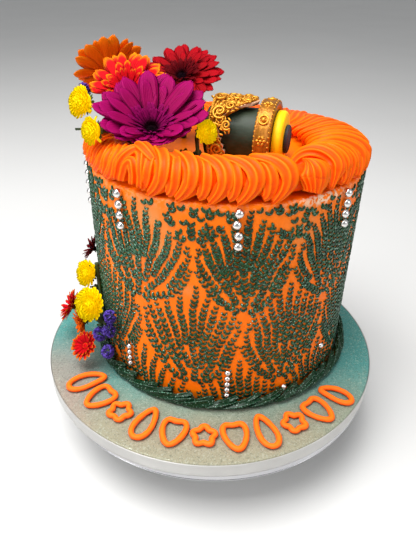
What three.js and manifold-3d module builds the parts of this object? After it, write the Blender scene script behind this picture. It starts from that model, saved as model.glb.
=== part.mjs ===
// A tall round buttercream cake on a glitter drum board and a low polished metal stand.
// The top carries a piped rope border, gerberas, button mums and a small fondant drum that lies
// on its side. A spray of flowers leans on the left of the cake, and piped motifs run along
// the front of the board. Millimetres, +Z up, the origin on the table under the board's centre.
// +X is to the right and -Y is towards the front.

import * as THREE from 'three';
import * as BufferGeometryUtils from 'three/addons/utils/BufferGeometryUtils.js';
import Module from 'manifold-3d';

const wasm = await Module();
wasm.setup();

// Clearance kept between pieces that rest on or beside each other
const GAP = 0.3;

// Stand
const PLATE_R = 150.4;
const PLATE_AT = [1.8, 1.2];
const PLATE_TOP = 60;
const PLATE_RIM = 12;
const BASE_R = 92;
const BASE_H = 10;
const COLUMN_WAIST_R = 18;
const COLUMN_FOOT_R = 34;
const COLUMN_HEAD_R = 42;

// Board: a 12 inch drum with a satin ribbon round its side
const BOARD_R = 152;
const BOARD_T = 13.2;
const RIBBON_T = 0.5;
const BOARD_TOP = PLATE_TOP + GAP + BOARD_T;

// Cake, in the board's frame: z is measured from the board's top
const CAKE_AT = [9.5, 21.9];
const CAKE_R = 113.4;
const CAKE_TOP = 181.6;
const CAKE_EDGE = 2.5;

// Pearls: columns every 45 degrees under the rim and above the foot
const PEARL_COLUMNS = 8;
const TOP_PEARL = { r: 3.4, first: 177, pitch: 8.2, start: -86.6 };
const FOOT_PEARL = { r: 2.6, first: 37, pitch: 6.1, start: -87.6 };
const PEARLS_DOWN = [4, 4, 4, 5, 4, 4, 6, 4];
const FOOT_PEARLS_DOWN = [5, 1, 4, 4, 5, 4, 4, 4];

// Piped borders
const TOP_BORDER = { ring: 98.5, half: 18.2, rise: 14.6, swirls: 28, samples: 4, around: 9 };
const BORDER_DIP = { at: -148, width: 13, depth: 0.24 };
// The top border's course round the cake, low at the back and wide on the right: rows of
// [degrees, share of the full height, inner radius]
const BORDER_COURSE = [
  [-180, 0.52, 80.3], [-165, 0.76, 80.3], [-150, 1, 80.3], [-58, 1, 80.3], [-35, 0.98, 70],
  [-20, 0.88, 62], [0, 0.72, 57], [20, 0.6, 57], [40, 0.5, 58], [75, 0.46, 65],
  [110, 0.46, 80.3], [180, 0.52, 80.3],
];
const FOOT_BORDER = { ring: 119.2, half: 5.3, rise: 6.2, swirls: 24, samples: 3, around: 6 };

// Fondant drum, lying on its side
const DRUM_AT = [40.4, -10.6];
const DRUM_TURN = -17;
const DRUM_R = 20.2;
const DRUM_LEFT = -46;
const DRUM_END_T = 7;
const DRUM_SPOT = { r: 10.5, t: 3 };
const BAND = { inner: DRUM_R + GAP, outer: 29, half: 6, open: 48 };
const COLLAR = { inner: DRUM_R + GAP, outer: 26.5, crest: 29.5, open: 62 };

// Flowers: place of the heart, turn to the right, tilt of the face above level, petal reach.
// `low` shortens the petals that point down, and `foot` is where the stem enters the cake.
const GERBERAS = {
  gerbera_magenta: {
    at: [-46.4, -23.5, 208], turn: 7, tilt: 62, reach: 43.5, cup: 27, petals: 15, low: 0.52,
    colour: 0xb00078, foot: [-47, -22],
  },
  gerbera_red: {
    at: [-28, 46, 231.8], turn: -14, tilt: 57, reach: 36, cup: 8, petals: 14, low: 0.8,
    colour: 0xb30a1c, foot: [-27, 48],
  },
  gerbera_flame: {
    at: [-66.5, 7.5, 229], turn: -8, tilt: 42, reach: 32, cup: 12, petals: 12, low: 0.42,
    colour: 0xf0401c, foot: [-57, 9],
  },
  gerbera_orange: {
    at: [-85, 41, 234], turn: -150, tilt: 25, reach: 33, cup: 12, petals: 12, low: 0.6,
    colour: 0xd95a0c, foot: [-57, 33],
  },
};
const MUMS = {
  mum_top_left: { at: [-96.5, -12, 225], turn: -50, tilt: 20, r: 12.5, h: 11, foot: [-62, -2] },
  mum_top_front: { at: [-85.8, -34, 211.4], turn: -55, tilt: 10, r: 11, h: 9, foot: [-63, -9] },
  mum_top_right: { at: [-7.5, -29, 210.5], turn: 38, tilt: 20, r: 9, h: 6, foot: [-12, -23] },
  mum_side_upper: { at: [-108.5, -14, 78.5], turn: -40, tilt: 25, r: 12.5, h: 8 },
  mum_side_lower: { at: [-102.5, -38, 62], turn: -32, tilt: 28, r: 15.5, h: 9 },
};
const STEM_R = { gerbera: 2.6, mum: 1.6 };
const STEM_KNEE = 33;
const SIDE_BLOOMS = {
  bloom_side_left: {
    at: [-130, -4, 34], turn: -80, tilt: 30, reach: 17, petals: 11, colour: 0xe0481a,
  },
  bloom_side_back: {
    at: [-116, -24, 32], turn: -60, tilt: -4, reach: 14, petals: 10, colour: 0xd95a0c,
  },
  bloom_side_low: {
    at: [-109.5, -46.5, 22], turn: -40, tilt: 44, reach: 14.5, petals: 12, colour: 0xe23a20,
  },
  bloom_side_dark: {
    at: [-107, 8, 91], turn: -80, tilt: 30, reach: 13, petals: 9, colour: 0x6e0f1e,
  },
};
// Greens that carry the side spray: a tapered pad up the cake's side and small wavy leaves
const SIDE_GREENS = { from: -156, to: -163, low: 13.5, high: 88, wide: 8, inner: 114, outer: 118 };
const LEAVES = {
  leaf_top_left: { from: [-74, -13, 213.5], to: [-104, -17, 206], half: 5, lift: -2 },
  leaf_top_right: { from: [-20, -2, 204], to: [-9, 10, 224], half: 5, lift: -2 },
  leaf_side: { from: [-104, -24, 40], to: [-94, -45, 45], half: 4.5, lift: 2 },
};
const STATICE = {
  statice_side_a: { at: [-84.5, -54.5, 61], r: [5.5, 5.5, 6.5] },
  statice_side_b: { at: [-86, -55, 47], r: [6, 6, 7] },
  statice_side_c: { at: [-96, -49.5, 38.5], r: [5.8, 5.8, 7] },
  statice_side_d: { at: [-88.5, -58, 26], r: [6, 6, 6.5] },
  statice_top_back: { at: [-101, 9, 229], r: [5, 5, 6] },
};

// Piped motifs along the front of the board
const MOTIF_KINDS = ['paisley', 'heart', 'flower', 'leaf', 'heart', 'flower', 'heart', 'leaf',
  'flower', 'heart', 'paisley'];
const MOTIF_STROKE = 2.7;
const MOTIF_LIFT = 2.3;
const MOTIF_FROM = -147;
const MOTIF_TO = -36;
const MOTIF_SIZE = 15.5;
const MOTIF_CLEAR = 1.4;

const DEG = Math.PI / 180;
const TURN = 2 * Math.PI;

const cakeGroup = new THREE.Group();
cakeGroup.position.z = BOARD_TOP;
const standGroup = new THREE.Group();
const part = new THREE.Group();
part.add(standGroup, cakeGroup);

function material(colour, roughness, metalness = 0) {
  return new THREE.MeshStandardMaterial({ color: colour, roughness, metalness });
}

const icing = material(0xf97812, 0.5);
const greenIcing = material(0x2f6144, 0.35, 0.3);
const yellowPetal = material(0xf2d404, 0.7);
const steel = material(0xb8bcc0, 0.2, 1);
const gold = material(0xc8912a, 0.35, 0.8);

function addMesh(group, name, geometry, finish) {
  const mesh = new THREE.Mesh(geometry, finish);
  mesh.name = name;
  group.add(mesh);
  return mesh;
}

// Repeatable random numbers between 0 and 1
function seeded(seed) {
  let state = seed;
  return () => {
    state = (state * 1664525 + 1013904223) % 4294967296;
    return state / 4294967296;
  };
}

// A closed surface of rings between two poles. place(row, column) gives each point; the first
// and last rows are single points. Neighbouring rings are split into triangles alike.
function polarSolid(rows, columns, place) {
  const points = [];
  const faces = [];
  points.push(...place(0, 0));
  for (let row = 1; row < rows - 1; row += 1) {
    for (let column = 0; column < columns; column += 1) points.push(...place(row, column));
  }
  points.push(...place(rows - 1, 0));
  const last = (rows - 2) * columns + 1;
  const at = (row, column) => 1 + (row - 1) * columns + (column % columns);
  for (let column = 0; column < columns; column += 1) {
    faces.push(0, at(1, column), at(1, column + 1));
    for (let row = 1; row < rows - 2; row += 1) {
      faces.push(at(row, column), at(row + 1, column), at(row + 1, column + 1));
      faces.push(at(row, column), at(row + 1, column + 1), at(row, column + 1));
    }
    faces.push(at(rows - 2, column), last, at(rows - 2, column + 1));
  }
  return indexed(points, faces);
}

// A closed surface that wraps both ways, like a ring
function wrapSolid(along, around, place) {
  const points = [];
  const faces = [];
  for (let i = 0; i < along; i += 1) {
    for (let j = 0; j < around; j += 1) points.push(...place(i / along, j / around));
  }
  const at = (i, j) => (i % along) * around + (j % around);
  for (let i = 0; i < along; i += 1) {
    for (let j = 0; j < around; j += 1) {
      faces.push(at(i, j), at(i + 1, j), at(i + 1, j + 1));
      faces.push(at(i, j), at(i + 1, j + 1), at(i, j + 1));
    }
  }
  return indexed(points, faces);
}

// Turns the triangles round where they would face inwards
function indexed(points, faces) {
  let volume = 0;
  const v = (k) => new THREE.Vector3(points[3 * k], points[3 * k + 1], points[3 * k + 2]);
  for (let t = 0; t < faces.length; t += 3) {
    volume += v(faces[t]).dot(v(faces[t + 1]).cross(v(faces[t + 2])));
  }
  if (volume < 0) {
    for (let t = 0; t < faces.length; t += 3) {
      [faces[t + 1], faces[t + 2]] = [faces[t + 2], faces[t + 1]];
    }
  }
  const geometry = new THREE.BufferGeometry();
  geometry.setAttribute('position', new THREE.Float32BufferAttribute(points, 3));
  geometry.setIndex(faces);
  geometry.computeVertexNormals();
  return geometry;
}

// A closed mesh as a solid that can be joined and cut
function solid(geometry) {
  const bare = geometry.clone();
  bare.deleteAttribute('normal');
  bare.deleteAttribute('uv');
  const merged = BufferGeometryUtils.mergeVertices(bare, 1e-4);
  const mesh = new wasm.Mesh({
    numProp: 3,
    vertProperties: new Float32Array(merged.attributes.position.array),
    triVerts: new Uint32Array(merged.index.array),
  });
  return new wasm.Manifold(mesh);
}

function geometryOf(body) {
  const mesh = body.getMesh();
  const geometry = new THREE.BufferGeometry();
  geometry.setAttribute('position', new THREE.Float32BufferAttribute(mesh.vertProperties, 3));
  geometry.setIndex(Array.from(mesh.triVerts));
  geometry.computeVertexNormals();
  return geometry;
}

function joined(...geometries) {
  return geometryOf(geometries.map(solid).reduce((whole, piece) => whole.add(piece)));
}

// A profile of [radius, height] points turned about the vertical axis
function turned(profile, segments, x = 0, y = 0) {
  const points = profile.map(([r, z]) => new THREE.Vector2(r, z));
  return new THREE.LatheGeometry(points, segments).rotateX(Math.PI / 2).translate(x, y, 0);
}

// A straight round rod with a pole at each end
function rod(from, to, radius, sides = 6) {
  const a = new THREE.Vector3(...from);
  const b = new THREE.Vector3(...to);
  const axis = b.clone().sub(a).normalize();
  if (Math.abs(axis.z) > 0.95) axis.set(0, 0, -1);
  const side = new THREE.Vector3(0.3, 1, 0.2).cross(axis).normalize();
  const up = axis.clone().cross(side);
  return polarSolid(4, sides, (row, column) => {
    const centre = row < 2 ? a : b;
    if (row === 0 || row === 3) return centre.toArray();
    const angle = (column / sides) * TURN;
    return centre.clone()
      .addScaledVector(side, radius * Math.cos(angle))
      .addScaledVector(up, radius * Math.sin(angle))
      .toArray();
  });
}

// Axes of a face that looks to `turn` degrees right of the front and `tilt` above level
function facing(turn, tilt) {
  const a = turn * DEG;
  const e = tilt * DEG;
  const normal = new THREE.Vector3(Math.sin(a) * Math.cos(e), -Math.cos(a) * Math.cos(e), Math.sin(e));
  const right = new THREE.Vector3(Math.cos(a), Math.sin(a), 0);
  const up = normal.clone().cross(right);
  if (up.z < 0) up.negate();
  return { normal, right, up };
}

function onFace(at, axes, x, y, z) {
  return new THREE.Vector3(...at)
    .addScaledVector(axes.right, x)
    .addScaledVector(axes.up, y)
    .addScaledVector(axes.normal, z)
    .toArray();
}

function buildStand() {
  const plateBottom = PLATE_TOP - PLATE_RIM;
  const plate = turned([
    [0, plateBottom], [PLATE_R - 4, plateBottom], [PLATE_R - 0.8, plateBottom + 1.2],
    [PLATE_R, plateBottom + 3.5], [PLATE_R - 1.8, PLATE_TOP], [0, PLATE_TOP],
  ], 40, ...PLATE_AT);
  const foot = BASE_H + GAP;
  const head = plateBottom - GAP;
  const column = turned([
    [0, foot], [COLUMN_FOOT_R, foot], [COLUMN_FOOT_R - 6, foot + 4], [COLUMN_WAIST_R, foot + 13],
    [COLUMN_WAIST_R, foot + 22], [COLUMN_HEAD_R - 10, head - 4], [COLUMN_HEAD_R, head], [0, head],
  ], 20, ...PLATE_AT);
  const base = turned([
    [0, 0], [BASE_R - 1.5, 0], [BASE_R, 1.5], [BASE_R - 1.5, 4], [BASE_R * 0.72, 7.5],
    [COLUMN_FOOT_R + 4, BASE_H], [0, BASE_H],
  ], 28, ...PLATE_AT);
  addMesh(standGroup, 'stand_plate', plate, steel);
  addMesh(standGroup, 'stand_column', column, steel);
  addMesh(standGroup, 'stand_base', base, steel);
}

function buildBoard() {
  const board = turned([[0, -BOARD_T], [BOARD_R, -BOARD_T], [BOARD_R, 0], [0, 0]], 48);
  const inner = BOARD_R + GAP;
  const ribbon = turned([
    [inner, -BOARD_T + 0.4], [inner + RIBBON_T, -BOARD_T + 0.4], [inner + RIBBON_T, -0.5],
    [inner, -0.5], [inner, -BOARD_T + 0.4],
  ], 48);
  addMesh(cakeGroup, 'cake_board', board, material(0x6f9a90, 0.5, 0.3));
  addMesh(cakeGroup, 'board_ribbon', ribbon, material(0xcdccc8, 0.35, 0.3));
}

// A point on the cake's side: arc from the front in mm, height, and distance off the side
function onSide(arc, z, off) {
  const angle = arc / CAKE_R - Math.PI / 2;
  const r = CAKE_R + off;
  return [CAKE_AT[0] + r * Math.cos(angle), CAKE_AT[1] + r * Math.sin(angle), z];
}

function pearlAt(arc, z, r) {
  return new THREE.SphereGeometry(r, 5, 3).translate(...onSide(arc, z, r * 0.5));
}

function pearls() {
  const balls = [];
  for (let k = 0; k < PEARL_COLUMNS; k += 1) {
    const topArc = (TOP_PEARL.start + 90 + 45 * k) * DEG * CAKE_R;
    const footArc = (FOOT_PEARL.start + 90 + 45 * k) * DEG * CAKE_R;
    for (let n = 0; n < PEARLS_DOWN[k]; n += 1) {
      balls.push(pearlAt(topArc + 0.4 * n, TOP_PEARL.first - n * TOP_PEARL.pitch, TOP_PEARL.r));
    }
    for (let n = 0; n < FOOT_PEARLS_DOWN[k]; n += 1) {
      balls.push(pearlAt(footArc, FOOT_PEARL.first - n * FOOT_PEARL.pitch, FOOT_PEARL.r));
    }
  }
  return balls;
}

function buildCake() {
  const body = turned([
    [0, GAP], [CAKE_R, GAP], [CAKE_R, CAKE_TOP - CAKE_EDGE],
    [CAKE_R - CAKE_EDGE, CAKE_TOP], [0, CAKE_TOP],
  ], 64, ...CAKE_AT);
  addMesh(cakeGroup, 'cake', joined(body, ...pearls()), icing);
}

// The top border's share of its full height and its stretch inwards, at degrees round the cake.
// The foot border keeps 1 and 1.
function borderCourse(degrees, spec) {
  if (spec !== TOP_BORDER) return [1, 1];
  const at = ((degrees + 540) % 360) - 180;
  const next = BORDER_COURSE.findIndex(([edge]) => edge > at);
  const [[from, share, inner], [to, shareTo, innerTo]] = BORDER_COURSE.slice(next - 1, next + 1);
  const t = (at - from) / (to - from);
  const wide = spec.ring + spec.half - inner - (innerTo - inner) * t;
  return [share + (shareTo - share) * t, wide / (2 * spec.half)];
}

// A border piped in overlapping swirls. Each swirl rises quickly and sinks slowly under the
// next one, and its edge bows like a bracket across the border.
function pipedBorder(spec, z0, seed, bow, depth, dip = 0) {
  const random = seeded(seed);
  const swell = Array.from({ length: spec.swirls }, () => 0.94 + 0.1 * random());
  return wrapSolid(spec.swirls * spec.samples, spec.around, (u, v) => {
    const angle = u * TURN;
    const round = v * TURN;
    const turns = u * spec.swirls + bow * Math.cos(round - 0.9);
    const whole = ((Math.floor(turns) % spec.swirls) + spec.swirls) % spec.swirls;
    const part01 = turns - Math.floor(turns);
    const rise = part01 < 0.25 ? part01 / 0.25 : (1 - part01) / 0.75;
    const size = (1 - depth + depth * rise) * swell[whole];
    const away = (((angle / DEG - BORDER_DIP.at + 540) % 360) - 180) / BORDER_DIP.width;
    const [share, stretch] = borderCourse(angle / DEG, spec);
    const tall = share * spec.rise * (1 - dip * Math.exp(-away * away));
    const outer = spec.ring + spec.half;
    const r = outer - (outer - spec.ring - spec.half * size * Math.cos(round)) * stretch;
    const z = z0 + tall + tall * size * Math.sin(round);
    return [CAKE_AT[0] + r * Math.cos(angle), CAKE_AT[1] + r * Math.sin(angle), Math.max(z, z0)];
  });
}

function buildBorders() {
  const top = pipedBorder(TOP_BORDER, CAKE_TOP + GAP, 7, 0.42, 0.24, BORDER_DIP.depth);
  const foot = pipedBorder(FOOT_BORDER, GAP, 11, 0.2, 0.3);
  const clear = turned([
    [0, -5], [CAKE_R + 0.4, -5], [CAKE_R + 0.4, CAKE_TOP / 2], [0, CAKE_TOP / 2],
  ], 72, ...CAKE_AT);
  addMesh(cakeGroup, 'border_top', top, icing);
  addMesh(cakeGroup, 'border_foot', geometryOf(solid(foot).subtract(solid(clear))), greenIcing);
}

// A point on the drum: distance along its axis, angle from its top towards the front, radius
function onDrum(s, angle, r) {
  const turn = DRUM_TURN * DEG;
  const along = [Math.cos(turn), Math.sin(turn)];
  const front = [Math.sin(turn), -Math.cos(turn)];
  const outward = r * Math.sin(angle);
  return [
    DRUM_AT[0] + s * along[0] + outward * front[0],
    DRUM_AT[1] + s * along[1] + outward * front[1],
    CAKE_TOP + GAP + DRUM_R + r * Math.cos(angle),
  ];
}

// A closed round piece of the drum from a profile of [distance, radius] pairs
function drumRound(profile, sides = 24) {
  const rows = profile.length;
  return polarSolid(rows, sides, (row, column) => {
    const [s, r] = profile[row];
    return onDrum(s, (column / sides) * TURN, r);
  });
}

// A piece wrapped over the drum and open underneath. section(angle) gives its loop of
// [distance, radius] pairs at each angle.
function drumWrap(openDegrees, rows, loop, section) {
  const reach = Math.PI - openDegrees * DEG;
  return polarSolid(rows, loop, (row, column) => {
    const t = Math.min(Math.max((row - 1) / (rows - 3), 0), 1);
    const angle = -reach + 2 * reach * t;
    const points = section(angle);
    if (row === 0 || row === rows - 1) {
      const middle = points.reduce((sum, [s, r]) => [sum[0] + s / loop, sum[1] + r / loop], [0, 0]);
      return onDrum(middle[0], angle, middle[1]);
    }
    return onDrum(...[points[column][0], angle, points[column][1]]);
  });
}

function bandGeometry() {
  const { inner, outer, half, open } = BAND;
  const hoop = drumWrap(open, 21, 6, () => [
    [-half, inner], [-half, outer - 3.4], [-half + 2, outer - 1.2], [half - 2, outer - 1.2],
    [half, outer - 3.4], [half, inner],
  ]);
  const studs = [];
  for (let k = -2; k <= 2; k += 1) {
    const angle = (k * 32 + 16) * DEG;
    const stud = new THREE.SphereGeometry(k % 2 === 0 ? 4.4 : 3.4, 6, 4);
    studs.push(stud.translate(...onDrum(0, angle, outer - 2.6)));
  }
  return joined(hoop, ...studs);
}

// The collar's right edge runs to a tongue on top and steps back down the front
function collarGeometry() {
  const left = DRUM_LEFT + 5;
  return drumWrap(COLLAR.open, 21, 6, (angle) => {
    const tongue = 19 * Math.exp(-((angle / 0.55) ** 2));
    const right = -30 + 3 * Math.cos(3 * angle) + tongue;
    const edge = COLLAR.inner + 2.4;
    const crest = COLLAR.outer + (COLLAR.crest - COLLAR.outer) * Math.exp(-((angle / 0.9) ** 2));
    const wave = 0.9 * Math.sin(9 * angle);
    return [
      [left, COLLAR.inner], [left - 0.6, edge + 1 + wave], [left + 6, crest + wave],
      [Math.max(left + 12, right - 9), crest - 0.8 - wave], [right, edge], [right, COLLAR.inner],
    ];
  });
}

function buildDrum() {
  const end = BAND.half + GAP;
  const face = end + DRUM_END_T;
  const barrel = drumRound([
    [DRUM_LEFT, 0], [DRUM_LEFT, DRUM_R - 1], [DRUM_LEFT + 1, DRUM_R],
    [BAND.half, DRUM_R], [BAND.half, 0],
  ]);
  const head = drumRound([
    [end, 0], [end, DRUM_R], [face - 3, DRUM_R], [face - 0.9, DRUM_R - 1.4],
    [face, DRUM_R - 3.4], [face, 0],
  ]);
  const spot = drumRound([
    [face + GAP, 0], [face + GAP, DRUM_SPOT.r], [face + DRUM_SPOT.t - 1, DRUM_SPOT.r],
    [face + DRUM_SPOT.t, DRUM_SPOT.r - 1.4], [face + DRUM_SPOT.t, 0],
  ], 18);
  addMesh(cakeGroup, 'drum_barrel', barrel, material(0x26352a, 0.6));
  addMesh(cakeGroup, 'drum_band', bandGeometry(), gold);
  addMesh(cakeGroup, 'drum_collar', collarGeometry(), gold);
  addMesh(cakeGroup, 'drum_head', head, material(0xf0c80a, 0.6));
  addMesh(cakeGroup, 'drum_spot', spot, material(0x2a2c2e, 0.6));
}

// A daisy-like bloom: a thin cupped sheet cut into petals, thicker at its heart, on a calyx
function bloom(spec, thickness, calyx) {
  const { at, turn, tilt, reach, petals } = spec;
  const cup = Math.tan((spec.cup ?? 24) * DEG);
  const low = spec.low ?? 1;
  const random = seeded(Math.round(reach * 31 + turn + petals));
  const lengths = Array.from({ length: petals }, () => 0.93 + 0.07 * random());
  const lifts = Array.from({ length: petals }, () => (random() - 0.5) * 0.1);
  const axes = facing(turn, tilt);
  const share = [0, 0.34, 1];
  const columns = petals * 3;
  return polarSolid(6, columns, (row, column) => {
    const top = row < 3;
    const level = top ? row : 5 - row;
    const petal = Math.floor(column / 3);
    const step = column % 3;
    const angle = ((petal + [0, 0.27, 0.73][step]) / petals) * TURN;
    const down = Math.max(0, -Math.sin(angle)) ** 0.8;
    const whole = reach * lengths[petal] * (1 - (1 - low) * down);
    const tip = level < 2 || step > 0 ? whole * share[level] : whole * 0.6;
    const lift = tip * (cup + (level === 2 ? lifts[petal] : 0)) - (step === 0 && level > 1 ? 0.8 : 0);
    const depth = top ? 0 : [calyx, thickness + 1, thickness][level];
    const heart = top ? 2.4 * (1 - share[level]) ** 2 : 0;
    return onFace(at, axes, tip * Math.cos(angle), tip * Math.sin(angle), lift + heart - depth);
  });
}

// A stem from behind a flower's heart to a knee over its foot, and down to the cake's top
function stem(spec, back, radius) {
  const start = onFace(spec.at, facing(spec.turn, spec.tilt), 0, 0, back);
  const knee = [...spec.foot, CAKE_TOP + STEM_KNEE];
  const foot = [...spec.foot, CAKE_TOP + GAP];
  if (Math.hypot(start[0] - knee[0], start[1] - knee[1]) < 4) return [rod(start, foot, radius)];
  return [rod(start, knee, radius), rod([knee[0], knee[1], knee[2] + 1], foot, radius)];
}

// A short stem from behind a side bloom in towards the greens on the cake
function sideStem(spec) {
  const start = onFace(spec.at, facing(spec.turn, spec.tilt), 0, 0, -2);
  const away = [start[0] - CAKE_AT[0], start[1] - CAKE_AT[1]];
  const share = (SIDE_GREENS.outer + 2) / Math.hypot(...away);
  const end = [CAKE_AT[0] + away[0] * share, CAKE_AT[1] + away[1] * share, start[2] - 3];
  return rod(start, end, 1.3, 4);
}

// A pompom of short petals: a dome with a zigzag outline in each ring
function pompom({ at, turn, tilt, r, h }) {
  const axes = facing(turn, tilt);
  const rings = [[0, 0], [0.55, 0.02], [0.97, 0.3], [0.82, 0.68], [0.45, 0.94], [0, 1]];
  return polarSolid(rings.length, 18, (row, column) => {
    const spike = 1 + ((column + row) % 2 === 0 ? 0.07 : -0.07);
    const angle = (column / 18) * TURN;
    const out = rings[row][0] * r * spike;
    return onFace(at, axes, out * Math.cos(angle), out * Math.sin(angle), rings[row][1] * h);
  });
}

function buildFlowers() {
  for (const [name, spec] of Object.entries(GERBERAS)) {
    const flower = joined(bloom(spec, 1.5, 6), ...stem(spec, -4, STEM_R.gerbera));
    addMesh(cakeGroup, name, flower, material(spec.colour, 0.6));
  }
  for (const [name, spec] of Object.entries(MUMS)) {
    const flower = pompom(spec);
    const whole = spec.foot ? joined(flower, ...stem(spec, 2, STEM_R.mum)) : flower;
    addMesh(cakeGroup, name, whole, yellowPetal);
  }
  for (const [name, spec] of Object.entries(SIDE_BLOOMS)) {
    const whole = joined(bloom(spec, 1.4, 4), sideStem(spec));
    addMesh(cakeGroup, name, whole, material(spec.colour, 0.6));
  }
}

// A tuft of small papery florets: a lumpy ball
function tuft({ at, r }) {
  const random = seeded(Math.round(Math.abs(at[0] * 13 + at[2])));
  const ball = new THREE.IcosahedronGeometry(1, 1);
  ball.deleteAttribute('normal');
  ball.deleteAttribute('uv');
  const merged = BufferGeometryUtils.mergeVertices(ball, 1e-4);
  const p = merged.attributes.position;
  for (let k = 0; k < p.count; k += 1) {
    const f = 0.82 + 0.26 * random();
    p.setXYZ(k, at[0] + p.getX(k) * r[0] * f, at[1] + p.getY(k) * r[1] * f, at[2] + p.getZ(k) * r[2] * f);
  }
  merged.computeVertexNormals();
  return merged;
}

function buildStatice() {
  const purple = material(0x3d1f8a, 0.8);
  for (const [name, spec] of Object.entries(STATICE)) addMesh(cakeGroup, name, tuft(spec), purple);
}

// Closed outlines that run once round as the angle does, within 0.6 each side and 1 up and down
const OUTLINES = {
  heart(a) {
    const y = 0.1 + 0.86 * Math.cos(a) - 0.19 * Math.cos(2 * a) - 0.06 * Math.cos(3 * a);
    return [0.56 * Math.sin(a) - 0.04 * Math.sin(3 * a), 0.95 * y];
  },
  flower(a) {
    const r = 0.52 + 0.08 * Math.cos(5 * a);
    return [r * Math.sin(a), r * Math.cos(a)];
  },
  leaf(a) {
    return [0.44 * Math.sin(a) * (1 - 0.3 * Math.cos(a)), Math.cos(a)];
  },
  paisley(a) {
    const y = Math.cos(a);
    return [0.47 * Math.sin(a) * (1 - 0.2 * y) + 0.2 * Math.max(0, y) ** 2, y];
  },
};

// A piped line along a closed outline, flat underneath and lying on the board
function motif(kind, angleDegrees, mirror) {
  const angle = angleDegrees * DEG;
  const out = [Math.cos(angle), Math.sin(angle)];
  const along = CAKE_AT[0] * out[0] + CAKE_AT[1] * out[1];
  const reach = FOOT_BORDER.ring + FOOT_BORDER.half;
  const inner = along + Math.sqrt(along ** 2 - CAKE_AT[0] ** 2 - CAKE_AT[1] ** 2 + reach ** 2);
  const ring = (inner + BOARD_R) / 2;
  const size = Math.min(MOTIF_SIZE, (BOARD_R - inner) / 2 - MOTIF_STROKE - MOTIF_CLEAR);
  const centre = [ring * out[0], ring * out[1]];
  const side = [-out[1], out[0]];
  const place = (a) => {
    const [x, y] = OUTLINES[kind](a);
    const w = x * size * mirror;
    const h = -y * size;
    return new THREE.Vector2(centre[0] + side[0] * w + out[0] * h, centre[1] + side[1] * w + out[1] * h);
  };
  const section = [[1, 0], [0.65, 1], [-0.65, 1], [-1, 0]];
  const steps = { flower: 20, heart: 16 }[kind] ?? 12;
  return wrapSolid(steps, section.length, (u, v) => {
    const a = u * TURN;
    const here = place(a);
    const ahead = place(a + 0.01).sub(here).normalize();
    const [across, high] = section[Math.round(v * section.length)];
    return [
      here.x + ahead.y * across * MOTIF_STROKE,
      here.y - ahead.x * across * MOTIF_STROKE,
      GAP + high * MOTIF_LIFT * 2,
    ];
  });
}

// The pad of greens follows the cake's side, lumpy along its length
function greensGeometry() {
  const { from, to, low, high, wide, inner, outer } = SIDE_GREENS;
  const rows = 9;
  return polarSolid(rows, 6, (row, column) => {
    const t = Math.min(Math.max((row - 0.5) / (rows - 2), 0), 1);
    const lump = 1 + 0.18 * Math.sin(row * 2.4);
    const pole = row === 0 || row === rows - 1;
    const across = pole ? 0 : [-1, -0.6, 0.6, 1, 0.6, -0.6][column] * wide * lump * (1 - 0.6 * t);
    const r = pole || column % 3 === 0 ? (inner + outer) / 2 : [0, outer, outer, 0, inner, inner][column];
    const angle = (from + (to - from) * t) * DEG + across / CAKE_R;
    return [CAKE_AT[0] + r * Math.cos(angle), CAKE_AT[1] + r * Math.sin(angle), low + (high - low) * t];
  });
}

// A leaf: a thin wavy sheet between two tips, its two faces split alike
function leafGeometry({ from, to, half, lift }) {
  const rows = 8;
  const a = new THREE.Vector3(...from);
  const axis = new THREE.Vector3(...to).sub(a);
  const side = axis.clone().cross(new THREE.Vector3(0, 0, 1)).normalize();
  const up = side.clone().cross(axis).normalize();
  return polarSolid(rows, 4, (row, column) => {
    const t = row / (rows - 1);
    const pole = row === 0 || row === rows - 1;
    const across = pole ? 0 : [1, 0, -1, 0][column] * half * Math.sin(Math.PI * t) ** 0.8;
    const thick = pole ? 0 : [0, 0.6, 0, -0.6][column];
    const wave = lift * Math.sin(Math.PI * t) + (pole || column % 2 ? 0 : 1.2 * Math.sin(7 * t));
    return a.clone().addScaledVector(axis, t).addScaledVector(side, across)
      .addScaledVector(up, thick + wave).toArray();
  });
}

function buildGreens() {
  const green = material(0x3f5a24, 0.75);
  addMesh(cakeGroup, 'side_greens', greensGeometry(), green);
  for (const [name, spec] of Object.entries(LEAVES)) addMesh(cakeGroup, name, leafGeometry(spec), green);
}

function buildMotifs() {
  const piping = material(0xfb5f16, 0.4);
  const last = MOTIF_KINDS.length - 1;
  MOTIF_KINDS.forEach((kind, k) => {
    const angle = MOTIF_FROM + ((MOTIF_TO - MOTIF_FROM) * k) / last;
    const name = `motif_${String(k + 1).padStart(2, '0')}_${kind}`;
    addMesh(cakeGroup, name, motif(kind, angle, k > last / 2 ? -1 : 1), piping);
  });
}

buildStand();
buildBoard();
buildCake();
buildBorders();
buildDrum();
buildFlowers();
buildStatice();
buildGreens();
buildMotifs();

export default part;
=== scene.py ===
"""Looks of a tall buttercream cake on a glitter board and a low metal stand.

Lengths are millimetres above the board's top until a shape becomes a mesh, which turns them into
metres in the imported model's frame. +Z is up and -Y is towards the front of the cake.
"""

from __future__ import annotations

import logging
from collections.abc import Callable
from dataclasses import dataclass, field
from enum import Enum

import bpy
import numpy as np
from mathutils import Matrix

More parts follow.
